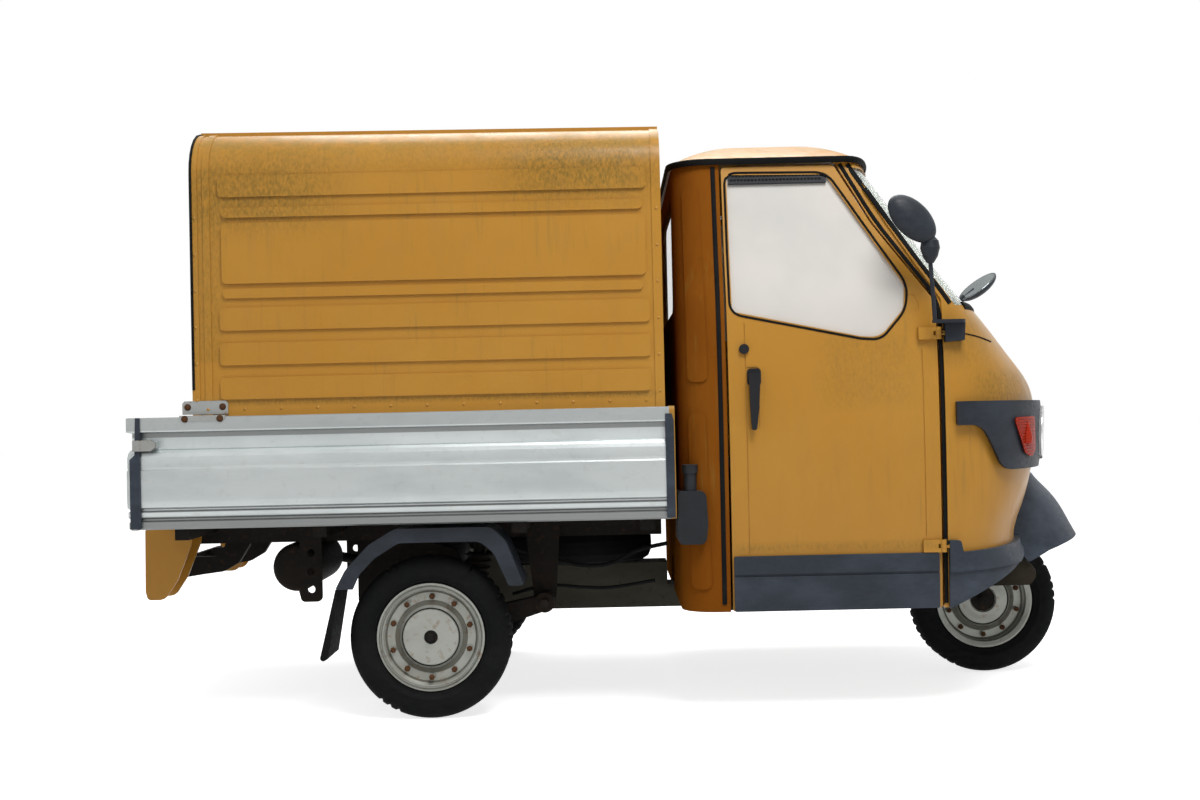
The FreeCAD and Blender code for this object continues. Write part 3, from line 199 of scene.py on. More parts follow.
groups = {"patches": makePatchGroup(), "alongAxis": makeRampGroup(), "facingUp": makeUpwardGroup()}


def masked(tree, group, **values):
    return put(tree, "Group", values, "Mask", node_tree=groups[group])


def patches(tree, size, low, high, detail, shift=0, **stretch):
    return masked(tree, "patches", Size=size, Low=low, High=high, Detail=detail, Shift=shift, **stretch)


def rampAt(tree, start, soft, **axis):
    return masked(tree, "alongAxis", From=start, To=start + soft, **axis)


# 1 from low to high along an axis, with soft ends
def bandAt(tree, low, high, soft, **axis):
    ends = (rampAt(tree, end, soft, **axis) for end in (low, high))
    return calc(tree, "SUBTRACT", *ends, use_clamp=True)


def times(tree, first, second):
    return calc(tree, "MULTIPLY", first, second)


# Lays (mask, colour, strength) layers over the look's colour; the grain sets the roughness
def finishShader(tree, shader, look, layers, grain, relief=None, distance=0, strength=0):
    colour = (*look["colour"], 1)
    for mask, above, share in layers:
        mix = {0: times(tree, mask, share), 6: colour, 7: (*above, 1)}
        colour = put(tree, "Mix", mix, 2, data_type="RGBA")
    tree.links.new(colour, shader.inputs["Base Color"])
    low, high = look["rough"]
    roughness = put(tree, "MapRange", {"Value": grain, "To Min": low, "To Max": high})
    tree.links.new(roughness, shader.inputs["Roughness"])
    if relief is not None:
        bump = put(tree, "Bump", {"Strength": strength, "Distance": distance, "Height": relief})
        tree.links.new(bump, shader.inputs["Normal"])


# Painted sheet metal: faded patches, grimy runs, specks and moss, and algae between given X and Z
def paintMaterial(name, look):
    material, tree, shader = newMaterial(name, look["colour"], 0.4, look["specular"],
                                         {"Coat Weight": look["coat"], "Coat Roughness": 0.12})
    faded = patches(tree, 0.35, 0.35, 0.72, 3)
    fine = patches(tree, 0.045, 0.42, 0.7, 5, 2, StretchZ=3)
    runs = times(tree, patches(tree, 0.012, 0.52, 0.74, 3, 5, StretchZ=16),
                 patches(tree, 0.22, 0.48, 0.62, 2, 8))
    specks = patches(tree, 0.006, 0.71, 0.76, 2, 11)
    moss = times(tree, masked(tree, "facingUp", From=0.12, To=0.75), patches(tree, 0.03, 0.4, 0.62, 6, 14))
    algae = patches(tree, 0.006, 0.25, 0.8, 6, 20, StretchZ=2)
    layers = [(faded, look["fadedColour"], look["fade"]), (fine, look["dullColour"], look["dull"]),
              (runs, look["runColour"], look["runs"]), (specks, look["speckColour"], look["specks"]),
              (moss, look["mossColour"], look["moss"])]
    for left, right, foot, head, soft, strength in look["algae"]:
        across = bandAt(tree, left - soft, right - soft, soft * 2, X=1, Z=0)
        area = times(tree, across, bandAt(tree, foot - soft / 2, head - soft / 2, soft))
        layers.append((times(tree, area, algae), look["algaeColour"], strength))
    finishShader(tree, shader, look, layers, fine, patches(tree, 0.004, 0.2, 0.8, 2, 17), 0.0002, 0.25)
    return material


# Moulded plastic, chalky from the weather, another colour above the given heights
def plasticMaterial(name, look):
    material, tree, shader = newMaterial(name, look["colour"], look["rough"][1], look["specular"], {})
    chalk = patches(tree, 0.12, 0.42, 0.68, 5, StretchX=1.8)
    fine = patches(tree, 0.01, 0.35, 0.75, 4, 3, StretchX=2)
    layers = [(chalk, look["chalkColour"], look["chalk"]), (fine, look["chalkColour"], look["chalk"] * 0.35),
              (masked(tree, "facingUp", From=0.4, To=0.95), look["dustColour"], look["dust"])]
    for low, soft, strength in look["bands"]:
        layers.append((rampAt(tree, low, soft), look["bandColour"], strength))
    finishShader(tree, shader, look, layers, fine, patches(tree, 0.0025, 0.25, 0.75, 2, 6), 0.0003, 0.4)
    return material


# Drawn or rolled bare metal, darker in bands between the given heights (on the bed sides: painted shade in
# the grooves, and a darker rail and lower boards)
def metalMaterial(name, look):
    material, tree, shader = newMaterial(name, look["colour"], look["rough"][1], look["specular"],
                                         {"Metallic": look["metallic"]})
    drawn = patches(tree, 0.004, 0.3, 0.7, 4, StretchX=look["drawn"])
    layers = [(patches(tree, 0.09, 0.4, 0.7, 5, 4, StretchX=3), look["dullColour"], look["dull"]),
              (patches(tree, 0.02, 0.55, 0.68, 6, 9), look["stainColour"], look["stain"])]
    for low, high, soft, strength in look["bands"]:
        layers.append((bandAt(tree, low, high, soft), look["bandColour"], strength))
    finishShader(tree, shader, look, layers, drawn, drawn, 0.0002, look["relief"])
    return material


# Panes and lenses, slightly hazy in wide patches
def glassMaterial(name, look):
    material, tree, shader = newMaterial(name, look["colour"], 0.05, look["specular"],
                                         {"Transmission Weight": look["clear"], "IOR": look["ior"]})
    haze = patches(tree, 0.3, 0.35, 0.7, 3)
    finishShader(tree, shader, look, [(haze, look["hazeColour"], look["haze"])], haze)
    return material


# Algae: first and last X, foot, head, soft edge, strength. Bands: foot, (head,) soft edge, strength
mustard = dict(make=paintMaterial, colour=(0.4, 0.188, 0.022), fadedColour=(0.46, 0.245, 0.045), fade=0.35,
    dullColour=(0.3, 0.15, 0.04), dull=0.16, runColour=(0.2, 0.13, 0.03), runs=0.35,
    speckColour=(0.1, 0.06, 0.02), specks=0.5, mossColour=(0.17, 0.145, 0.035), moss=0.35,
    rough=(0.32, 0.46), coat=0.05, specular=0.22, algaeColour=(0.1, 0.075, 0.012),
    algae=((0.9, 1.12, 0.795, 0.885, 0.05, 0.7), (0.5, 0.74, 0.8, 0.985, 0.06, 0.3),
    (0.26, 0.79, 0.425, 0.445, 0.02, 0.5), (0.8, 0.95, 0.9, 1.03, 0.05, 0.35)))
greyPlastic = dict(make=plasticMaterial, colour=(0.02, 0.026, 0.036), chalkColour=(0.06, 0.074, 0.1),
    chalk=0.55, dustColour=(0.1, 0.11, 0.12), dust=0.35, rough=(0.42, 0.62), specular=0.2, bands=(),
    bandColour=(0.006, 0.006, 0.007))
blackPlastic = dict(greyPlastic, colour=(0.008, 0.009, 0.011), chalkColour=(0.022, 0.025, 0.03), chalk=0.5)
rubber = dict(greyPlastic, colour=(0.004, 0.0044, 0.0048), chalkColour=(0.011, 0.011, 0.0105), chalk=0.6,
    dustColour=(0.022, 0.022, 0.02), rough=(0.6, 0.85), specular=0.07)
# The aluminium's bands paint shade into the groove under the rail (0.755 to 0.768 m) and the groove at 0.562
# to 0.568 m, and make the rail and the lower boards darker
aluminium = dict(make=metalMaterial, colour=(0.5, 0.53, 0.53), dullColour=(0.36, 0.4, 0.4), dull=0.5,
    stainColour=(0.25, 0.26, 0.22), stain=0.14, metallic=0.75, rough=(0.34, 0.46), drawn=30, specular=0.3,
    relief=0.3, bandColour=(0.13, 0.135, 0.13), bands=((0.755, 0.768, 0.002, 0.75),
    (0.772, 0.84, 0.004, 0.45), (0.5, 0.545, 0.012, 0.8), (0.562, 0.568, 0.002, 0.8),
    (0.55, 0.672, 0.06, 0.25)))
darkSteel = dict(aluminium, bands=(), colour=(0.009, 0.008, 0.007), dullColour=(0.022, 0.015, 0.01),
    stainColour=(0.045, 0.02, 0.008), stain=0.5, metallic=0.1, rough=(0.6, 0.85), drawn=1, specular=0.12)
agedSteel = dict(aluminium, bands=(), colour=(0.3, 0.31, 0.3), dullColour=(0.2, 0.19, 0.17),
    stainColour=(0.16, 0.09, 0.05), stain=0.7, metallic=0.5, drawn=4)
chrome = dict(aluminium, bands=(), colour=(0.62, 0.62, 0.62), dull=0.3, stain=0.3, metallic=0.95,
    rough=(0.12, 0.25), drawn=1)
# Window glass is pale and nearly opaque: painted reflection of the pale surroundings and of the pale backdrop
# seen through it
windowGlass = dict(make=glassMaterial, colour=(0.64, 0.61, 0.57), hazeColour=(0.52, 0.52, 0.5), haze=0.6,
    clear=0.08, specular=0.5, ior=1.45, rough=(0.03, 0.1))
looks = {
    "mustardPaint": mustard,
    "canopyPaint": dict(mustard, algae=((-1.12, -0.78, 1.3, 1.46, 0.12, 0.8),
        (-0.3, 0.06, 1.36, 1.5, 0.12, 0.9), (-1.1, 0.06, 1.44, 1.53, 0.05, 0.35),
        (-1.13, -1.06, 0.95, 1.45, 0.02, 0.4), (-1.12, 0.07, 0.835, 0.85, 0.012, 0.6))),
    # Darker copy of the mustard paint for the cab's rear wall: painted shade
    "mustardPaintShaded": dict(mustard, colour=(0.19, 0.058, 0.006), fadedColour=(0.25, 0.095, 0.012),
        dullColour=(0.1, 0.03, 0.005), coat=0, specular=0, rough=(0.85, 0.98)),
    "greyPlastic": greyPlastic, "blackPlastic": blackPlastic, "rubber": rubber,
    "doorTrim": dict(greyPlastic, colour=(0.016, 0.021, 0.029), chalkColour=(0.046, 0.057, 0.077),
        bands=((0.6, 0.02, 0.95),)),
    "darkPlastic": dict(greyPlastic, colour=(0.011, 0.014, 0.019), chalkColour=(0.034, 0.041, 0.054)),
    # Near-black discs that stand for the vent strip's holes: painted shade
    "darkHole": dict(greyPlastic, colour=(0.004, 0.004, 0.004), chalkColour=(0.01, 0.01, 0.01), dust=0,
        rough=(0.8, 0.95)),
    "floorPan": dict(rubber, colour=(0.02, 0.017, 0.012), chalkColour=(0.045, 0.038, 0.026),
        dustColour=(0.07, 0.06, 0.045)),
    "vinyl": dict(blackPlastic, colour=(0.016, 0.016, 0.018), chalkColour=(0.035, 0.034, 0.033),
        rough=(0.45, 0.65)),
    "aluminium": aluminium, "darkSteel": darkSteel, "agedSteel": agedSteel, "chrome": chrome,
    "wheelSilver": dict(aluminium, bands=(), colour=(0.3, 0.31, 0.28), dullColour=(0.2, 0.19, 0.16),
        stainColour=(0.16, 0.07, 0.03), stain=0.5, metallic=0.35, drawn=1),
    "rimShade": dict(darkSteel, colour=(0.13, 0.13, 0.11), dullColour=(0.1, 0.085, 0.06),
        stainColour=(0.08, 0.035, 0.015), metallic=0.2),
    "dustySteel": dict(darkSteel, colour=(0.085, 0.083, 0.065), dullColour=(0.045, 0.04, 0.028),
        stainColour=(0.05, 0.028, 0.014), metallic=0, rough=(0.7, 0.9), drawn=6),
    "rust": dict(darkSteel, colour=(0.075, 0.034, 0.016), dullColour=(0.12, 0.055, 0.022),
        stainColour=(0.03, 0.018, 0.012)),
    "bedBoard": dict(agedSteel, colour=(0.34, 0.35, 0.34), metallic=0, rough=(0.6, 0.8)),
    "mirror": dict(chrome, colour=(0.16, 0.18, 0.18), dull=0.1, stain=0.05, metallic=0.6, rough=(0.05, 0.1),
        relief=0),
    "windowGlass": windowGlass,
    "screenGlass": dict(windowGlass, colour=(0.86, 0.9, 0.86), hazeColour=(0.78, 0.82, 0.76), haze=0.4,
        clear=0.8, ior=1.12, rough=(0, 0.01)),
    "clearLens": dict(windowGlass, colour=(0.8, 0.8, 0.8), hazeColour=(0.6, 0.61, 0.58), haze=0.4,
        clear=0.7),
    "amberLens": dict(windowGlass, colour=(0.33, 0.02, 0.006), hazeColour=(0.42, 0.045, 0.012), haze=0.5,
        clear=0, specular=0.12),
    "redLens": dict(windowGlass, colour=(0.36, 0.006, 0.006), hazeColour=(0.26, 0.01, 0.01), haze=0.4,
        clear=0, specular=0.15),
}
nodeFinish = {
    "mustardPaint": ("cab_roof", "nose_panel", "door_right_panel", "door_left_panel", "tail_lamp_brackets",
        "bed_headboard"), "canopyPaint": ("canopy_shell", "canopy_hatch"),
    "mustardPaintShaded": ("cab_rear_wall",), "windowGlass": ("door_right_glass", "door_left_glass"),
    "screenGlass": ("windscreen", "rear_window"), "blackPlastic": ("dashboard", "fuel_tank", "handlebar"),
    "vinyl": ("seat_cushion", "seat_back"), "greyPlastic": ("front_skirts", "front_mudguard"),
    "doorTrim": ("door_right_trim", "door_left_trim"),
    "darkPlastic": ("lamp_clusters", "rear_fenders", "mirrors"), "floorPan": ("cab_floor",),
    "clearLens": ("headlamps",), "amberLens": ("indicators",), "redLens": ("tail_lamps",),
    "dustySteel": ("chassis_frame",), "bedBoard": ("bed_floor",),
    "darkSteel": ("chassis_rails", "cross_members", "outriggers", "rear_guard", "rear_right_arm",
        "rear_left_arm", "front_fork", "engine_block", "silencer"),
    "aluminium": ("bed_right_side", "bed_left_side", "tailgate"),
    "rubber": ("front_tyre", "rear_right_tyre", "rear_left_tyre", "spare_wheel", "mudflaps"),
    "wheelSilver": ("front_rim", "rear_right_rim", "rear_left_rim"),
}
finishes = {name: look["make"](name, look) for name, look in looks.items()}
for finish, names in nodeFinish.items():
    for name in names:
        for slot in nodes[name].material_slots:
            slot.material = finishes[finish]
print("finishes given to the nodes")


# Shapes in mesh code: parts is a pair of lists, points and faces, that the helpers add to
def newParts():
    return [], []


def joinTo(parts, points, faces):
    start = len(parts[0])
    parts[0].extend(points)
    parts[1].extend(tuple(index + start for index in face) for face in faces)


# Faces between rings of points, and the two faces that close the ends
def ringFaces(count, size, closed):
    faces = []
    for i in range(count if closed else count - 1):
        a, b = i * size, (i + 1) % count * size
        faces += [(a + k, a + (k + 1) % size, b + (k + 1) % size, b + k) for k in range(size)]
    if not closed:
        faces += [tuple(range(size)), tuple((count - 1) * size + k for k in range(size))]
    return faces


def circle(count, wide=1, tall=1):
    angles = [math.tau * k / count for k in range(count)]
    return [(wide * math.cos(angle), tall * math.sin(angle)) for angle in angles]


# A section of (across, outward) points drawn along a path, outward turned to the given normals
def sweepInto(parts, path, normals, section, closed=False):
    count = len(path)
    points = []
    for i, point in enumerate(path):
        before = path[i - 1] if closed or i else point
        after = path[(i + 1) % count] if closed or i < count - 1 else point
        along = (after - before).normalized()
        outward = (normals[i] - along * normals[i].dot(along)).normalized()
        across = along.cross(outward)
        points += [point + across * u + outward * v for u, v in section]
    joinTo(parts, points, ringFaces(count, len(section), closed))


# A low rounded strip, its back edge just under the surface
def lipSection(width, height, sunk=-0.002):
    half = width / 2
    rise = [(-half, sunk), (-half, height * 0.45), (-half * 0.6, height * 0.9)]
    return rise + [(0, height)] + [(-u, v) for u, v in reversed(rise)]


def tubeInto(parts, points, radius):
    path = smoothPath(points)
    sweepInto(parts, path, [Vector((0.21, 0.35, 0.91))] * len(path), circle(8, radius, radius))


# A smooth curve through the given points
def smoothPath(points, steps=6):
    points = [Vector(point) for point in points]
    path, last = [], len(points) - 1
    for i in range(last):
        p0, p1, p2, p3 = points[max(i - 1, 0)], points[i], points[i + 1], points[min(i + 2, last)]
        for k in range(steps):
            t = k / steps
            path.append(0.5 * ((2 * p1) + (p2 - p0) * t + (2 * p0 - 5 * p1 + 4 * p2 - p3) * t * t
                               + (3 * p1 - p0 - 3 * p2 + p3) * t ** 3))
    return path + [points[-1]]


# A closed section of (radius, along) points turned about an axis
def latheInto(parts, centre, axis, section, count=48):
    axis = Vector(axis).normalized()
    side = axis.orthogonal().normalized()
    other = axis.cross(side)
    points = []
    for across, upward in circle(count):
        out = side * across + other * upward
        points += [Vector(centre) + out * radius + axis * along for radius, along in section]
    joinTo(parts, points, ringFaces(count, len(section), True))


# A flat outline thickened from low to high, its upper edge eased; toPlace turns (u, v, w) into a point
def slabInto(parts, outline, toPlace, low, high, ease=0.0015):
    middleU = sum(u for u, v in outline) / len(outline)
    middleV = sum(v for u, v in outline) / len(outline)
    points = []
    for inset, w in ((0, low), (0, high - ease), (ease, high)):
        for u, v in outline:
            share = 1 - inset / math.hypot(u - middleU, v - middleV)
            points.append(toPlace(middleU + (u - middleU) * share, middleV + (v - middleV) * share, w))
    joinTo(parts, points, ringFaces(3, len(outline), False))


# A small shape of turned sections, each with its number of corners
def unitOf(*turned):
    unit = newParts()
    for section, corners in turned:
        latheInto(unit, (0, 0, 0), (0, 0, 1), section, corners)
    return unit


# For slabs that stand along X: their outline in millimetres, their thickness along Y in metres
def standing(side):
    return lambda x, z, out: Vector((x / 1000, side * out, z / 1000))


def meshOf(name, parts):
    work = bmesh.new()
    made = [work.verts.new(point) for point in parts[0]]
    for face in parts[1]:
        work.faces.new([made[index] for index in face])
    bmesh.ops.remove_doubles(work, verts=work.verts, dist=sameSpot)
    bmesh.ops.recalc_face_normals(work, faces=work.faces)
    mesh = bpy.data.meshes.new(name)
    work.to_mesh(mesh)
    work.free()
    return mesh


# A piece of the scene from parts or from a mesh, on its body
def addPiece(name, shape, finish, body, sharp=0.7, replaced=()):
    mesh = meshOf(name, shape) if isinstance(shape, tuple) else shape
    mesh.materials.clear()
    mesh.materials.append(finishes[finish])
    for face in mesh.polygons:
        face.use_smooth = True
        face.material_index = 0
    mesh.set_sharp_from_angle(angle=sharp)
    piece = newObject(name, mesh)
    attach(piece, body)
    for node in replaced:
        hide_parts(node)
    return piece


# A piece that is one section drawn along a path
def addStrip(name, path, normals, section, finish, body, slot, closed=False):
    parts = newParts()
    sweepInto(parts, path, normals, section, closed)
    addPiece(name, parts, finish, body)


# Repeats a small shape at given places, each turned to its direction and spun by a seeded amount
def makeRepeatTree():
    tree = bpy.data.node_groups.new("repeatUnit", "GeometryNodeTree")
    for label, kind in (("Places", "Geometry"), ("Unit", "Object"), ("Finish", "Material"), ("Spin", "Float"),
                        ("Seed", "Int")):
        tree.interface.new_socket(label, in_out="INPUT", socket_type="NodeSocket" + kind)
    tree.interface.new_socket("Geometry", in_out="OUTPUT", socket_type="NodeSocketGeometry")
    given, result, turn, unit, copies, spin, about, spun, real, finished = (tree.nodes.new(kind) for kind in (
        "NodeGroupInput", "NodeGroupOutput", "GeometryNodeInputNamedAttribute", "GeometryNodeObjectInfo",
        "GeometryNodeInstanceOnPoints", "FunctionNodeRandomValue", "ShaderNodeCombineXYZ",
        "GeometryNodeRotateInstances", "GeometryNodeRealizeInstances", "GeometryNodeSetMaterial"))
    turn.data_type = "FLOAT_VECTOR"
    turn.inputs["Name"].default_value = "turn"
    spin.data_type = "FLOAT"
    for source, output, target, entry in (
            (given, "Places", copies, "Points"), (given, "Unit", unit, "Object"),
            (unit, "Geometry", copies, "Instance"), (turn, "Attribute", copies, "Rotation"),
            (given, "Spin", spin, 3), (given, "Seed", spin, "Seed"), (spin, 1, about, "Z"),
            (copies, "Instances", spun, "Instances"), (about, 0, spun, "Rotation"),
            (spun, "Instances", real, "Geometry"), (real, "Geometry", finished, "Geometry"),
            (given, "Finish", finished, "Material"), (finished, "Geometry", result, "Geometry")):
        tree.links.new(source.outputs[output], target.inputs[entry])
    return tree


repeatTree = makeRepeatTree()


def evaluated(thing):
    return bpy.data.meshes.new_from_object(thing.evaluated_get(bpy.context.evaluated_depsgraph_get()))


def repeatPiece(name, unit, places, finish, body):
    unitObject = newObject(name + "Unit", meshOf(name + "Unit", unit))
    mesh = bpy.data.meshes.new(name + "Places")
    mesh.from_pydata([place for place, direction in places], [], [])
    turn = mesh.attributes.new("turn", "FLOAT_VECTOR", "POINT")
    for i, (place, direction) in enumerate(places):
        turn.data[i].vector = Vector(direction).to_track_quat("Z", "X").to_euler()
    holder = newObject(name + "Places", mesh)
    modifier = holder.modifiers.new("repeat", "NODES")
    modifier.node_group = repeatTree
    values = {"Unit": unitObject, "Finish": finishes[finish], "Spin": math.tau, "Seed": 7}
    for item in repeatTree.interface.items_tree:
        if item.item_type == "SOCKET" and item.in_out == "INPUT" and item.name in values:
            modifier[item.identifier] = values[item.name]
    result = evaluated(holder)
    for helper in (holder, unitObject):
        bpy.data.objects.remove(helper)
    if "turn" in result.attributes:
        result.attributes.remove(result.attributes["turn"])
    addPiece(name, result, finish, body)


# Surfaces of the CAD nodes, for laying pieces on them
def skinOf(*names):
    work = bmesh.new()
    for name in names:
        work.from_mesh(nodes[name].data)
    tree = BVHTree.FromBMesh(work)
    work.free()
    return tree


# The first spot of a skin met along a direction, and its normal turned against that direction
def meet(skin, point, toward):
    hit, normal, _, _ = skin.ray_cast(Vector(point), toward)
    return hit, -normal if hit is not None and normal.dot(toward) > 0 else normal


def layAlong(skin, line, toward, step=0.012, radius=0, lift=0):
    path, normals = [], []
    for point in spaced(line, step, radius):
        hit, normal = meet(skin, point - toward * outside, toward)
        if hit is not None and hit.dot(toward) < 0:
            path.append(hit + normal * lift)
            normals.append(normal)
    return path, [sum(normals[max(0, i - 2):i + 3], Vector()).normalized() for i in range(len(normals))]


# Points at even steps along straight runs, the corners rounded
def spaced(line, step, radius):
    line = [Vector(point) for point in line]
    if radius:
        eased = [line[0]]
        for i in range(1, len(line) - 1):
            back, ahead = line[i - 1] - line[i], line[i + 1] - line[i]
            reach = min(radius, back.length / 2.1, ahead.length / 2.1)
            start, end = line[i] + back.normalized() * reach, line[i] + ahead.normalized() * reach
            for k in range(9):
                t = k / 8
                eased.append(start * (1 - t) ** 2 + line[i] * 2 * t * (1 - t) + end * t * t)
        line = eased + [line[-1]]
    points = []
    for a, b in zip(line, line[1:]):
        count = max(1, round((b - a).length / step))
        points += [a.lerp(b, k / count) for k in range(count)]
    return points + [line[-1]]


# Points seen from the side, X and Z in millimetres, put into the frame
def seenAt(points):
    return [Vector((x / 1000, 0, z / 1000)) for x, z in points]


# Rubber seals round the doors, the windscreen and the windows
seals = dict(doorWindow=((600, 974), (262, 1046), (262, 1428), (535, 1424), (728, 1115), (722, 1048),
    (654, 970), (600, 974)), windowLip=(0.006, 0.0025), windowCorner=0.035, cabRise=0.003,
    cabCorner=0.05, cab=((((809, 282), (809, 1070), (655, 1292), (572, 1446)), 0.01),
    (((232, 290), (232, 1444)), 0.012), (((822, 988), (900, 978), (962, 962)), 0.003),
    (((592, 1446), (672, 1318), (838, 1062)), 0.014)), screenFoot=1.058, screenHalf=0.54,
    screenLip=(0.022, 0.005))


def makeSeals(look):
    shell = skinOf("nose_panel", "cab_rear_wall", "windscreen")
    for label, side in sides:
        toward = Vector((0, -side, 0))
        door = skinOf("door_" + label + "_panel", "door_" + label + "_glass")
        path, normals = layAlong(door, seenAt(look["doorWindow"]), toward, 0.01, look["windowCorner"])
        addStrip(label + "DoorWindowSeal", path[:-1], normals[:-1], lipSection(*look["windowLip"]), "rubber",
                 label + "_door", "flap_rubber", True)
        parts = newParts()
        for line, width in look["cab"]:
            path, normals = layAlong(shell, seenAt(line), toward, 0.012, look["cabCorner"])
            sweepInto(parts, path, normals, lipSection(width, look["cabRise"]))
        addPiece(label + "CabSeals", parts, "rubber", "chassis")
    foot = [Vector((0, side * look["screenHalf"], look["screenFoot"])) for label, side in sides]
    path, normals = layAlong(skinOf("windscreen", "nose_panel"), foot, Vector((-1, 0, 0)), 0.01)
    addStrip("screenLowerSeal", path, normals, lipSection(*look["screenLip"]), "rubber", "chassis",
             "flap_rubber")


# Drip rail round the foot of the roof
dripRail = dict(height=1.4575, depth=0.016, thickness=0.004, count=180, centreX=0.4)


def makeDripRail(look):
    roof = skinOf("cab_roof")
    centre = Vector((look["centreX"], 0, look["height"]))
    path, normals = [], []
    for x, y in circle(look["count"]):
        out = Vector((x, y, 0))
        hit = meet(roof, centre + out * outside, -out)[0]
        if hit is not None:
            path.append(hit)
            normals.append(out)
    half, thick = look["depth"] / 2, look["thickness"]
    section = [(-half, -0.002), (-half, thick), (-half * 0.4, thick * 1.4), (half * 0.4, thick),
               (half, thick * 0.4), (half, -0.002)]
    addStrip("roofDripRail", path, normals, section, "rubber", "chassis", "flap_rubber", True)


# Vent strip at the head of each door window, its holes drawn as near-black discs of painted shade
ventStrip = dict(first=273, last=533, low=1396, high=1428, holes=26, rows=2, endGap=8, probes=(1.34, 1.4),
    lift=0.005, edge=0.0022, back=-0.009, face=0.0015, hole=((0, 0.0006), (0.0026, 0.0006), (0.0042, 0),
    (0.0042, -0.001), (0, -0.001)))


def makeVentStrip(look, label, side):
    door = skinOf("door_" + label + "_glass", "door_" + label + "_panel")
    first, last, low, high = (look[key] for key in ("first", "last", "low", "high"))
    out = Vector((0, side, 0))

    def skinPoint(x, z, rise):
        lower, upper = (meet(door, (x / 1000, side * outside, probe), -out)[0].y for probe in look["probes"])
        slope = (upper - lower) / (look["probes"][1] - look["probes"][0])
        y = lower + slope * (z / 1000 - look["probes"][0]) + side * (look["lift"] + rise)
        return Vector((x / 1000, y, z / 1000))

    parts = newParts()
    slabInto(parts, [(first, low), (last, low), (last, high), (first, high)], skinPoint, look["back"],
             look["face"], 0.0012)
    for z in (low + 1, high - 1):
        path = [skinPoint(x, z, 0.001) for x in range(first, last + 1, 20)]
        sweepInto(parts, path, [out] * len(path), circle(6, look["edge"], look["edge"]))
    addPiece(label + "VentStrip", parts, "blackPlastic", label + "_door")
    places = []
    for row in range(look["rows"]):
        z = low + (high - low) * (row + 1) / (look["rows"] + 1)
        for k in range(look["holes"]):
            share = (k + 0.5 * (row % 2)) / look["holes"]
            x = first + look["endGap"] + (last - first - look["endGap"] * 2) * share
            places.append((skinPoint(x, z, look["face"] + 0.0001), out))
    # The holes are dark discs on the strip's face: painted shade
    hole = unitOf((look["hole"], 12))
    repeatPiece(label + "VentHoles", hole, places, "darkHole", label + "_door")


# Tyres with ribs and shoulder blocks, and the caps, rings and nuts of the discs. The tyre's half section is
# (step, share of the half width), from the bead outwards and from the tread inwards. A ring of a disc is its
# wheels, its place along the axle, its corners and its section, all in tenths of a millimetre
wheels = dict(hubs=(("front", "front_wheel", (1.05, 0, 0.215), -1, 0.02), ("rear_right", "rear_right_wheel",
    (-0.54, -0.51, 0.215), -1, 0.034), ("rear_left", "rear_left_wheel", (-0.54, 0.51, 0.215), 1, 0.034)),
    radius=0.215, half=0.05, bead=0.1432, segments=200, beadSteps=((-0.001, 0.6), (0, 0.64), (0.005, 0.78),
    (0.007, 0.8), (0.009, 0.79), (0.018, 0.93), (0.02, 0.955), (0.023, 0.95)),
    crownSteps=((0.04, 0.99), (0.038, 1), (0.028, 0.995), (0.018, 0.93), (0.01, 0.85), (0.005, 0.74),
    (0.003, 0.6)), treadShares=(0.56, 0.52, 0.5, 0.34, 0.32, 0.28, 0.26, 0.04), treadDip=0.0018, lugs=50,
    stagger=0.35, treadFrom=0.012, lugGap=0.0055, groove=0.0045, nutCircle=0.106, nuts=5,
    nutRows=((36, -0.008), (2, -0.013)), rings={"DiscRings": ("wheelSilver",
    (("front", -20, 72, ((360, 15), (400, 60), (540, 60), (580, 30), (725, 25), (745, -30), (360, -30))),
    ("rear", -20, 72, ((0, 35), (600, 28), (725, 15), (745, -30), (0, -30))),
    ("", -40, 90, ((1265, -10), (1280, 20), (1315, 140), (1325, 140), (1310, -10))))),
    "HubNut": ("darkSteel", (("", -20, 6, ((0, 160), (90, 155), (110, 130), (110, 30), (0, 30))),
    ("", -20, 32, ((90, 55), (170, 50), (185, 30), (185, 10), (90, 10))), ("", -20, 72,
    ((742, 26), (752, 30), (768, 22), (772, -20), (742, -20))), ("front", -20, 60,
    ((0, 25), (300, 20), (365, 5), (365, -20), (0, -20))))), "DiscGrooves": ("rimShade",
    (("", -130, 90, ((835, 20), (875, 12), (960, 2), (965, -25), (835, -25))),
    ("", -130, 90, ((1170, 4), (1190, 8), (1245, 56), (1260, 56), (1240, 10), (1170, -30)))))},
    nut=((0, 80), (55, 80), (80, 65), (80, -40), (0, -40)), stud=((0, 120), (35, 115), (40, 70), (0, 70)))


def tenths(section):
    return [(radius / 10000, along / 10000) for radius, along in section]


def tyreSection(look):
    outer = [(look["bead"] + step, share * look["half"]) for step, share in look["beadSteps"]]
    tread = tuple((look["treadDip"], share) for share in look["treadShares"])
    outer += [(look["radius"] - step, share * look["half"]) for step, share in look["crownSteps"] + tread]
    return outer + [(radius, -along) for radius, along in reversed(outer)]


# How deep the tread is cut at a spot: gaps between lugs at the shoulders, two grooves and fine cuts between
def treadDrop(look, radius, along, angle):
    if radius < look["radius"] - look["treadFrom"]:
        return 0
    share, step = abs(along) / look["half"], math.tau / look["lugs"]
    phase = (angle + (look["stagger"] if along > 0 else 0)) % step / step
    if share > 0.5:
        return look["lugGap"] if phase < 0.24 else 0
    return look["groove"] if share > 0.3 or share < 0.05 or phase < 0.14 else 0


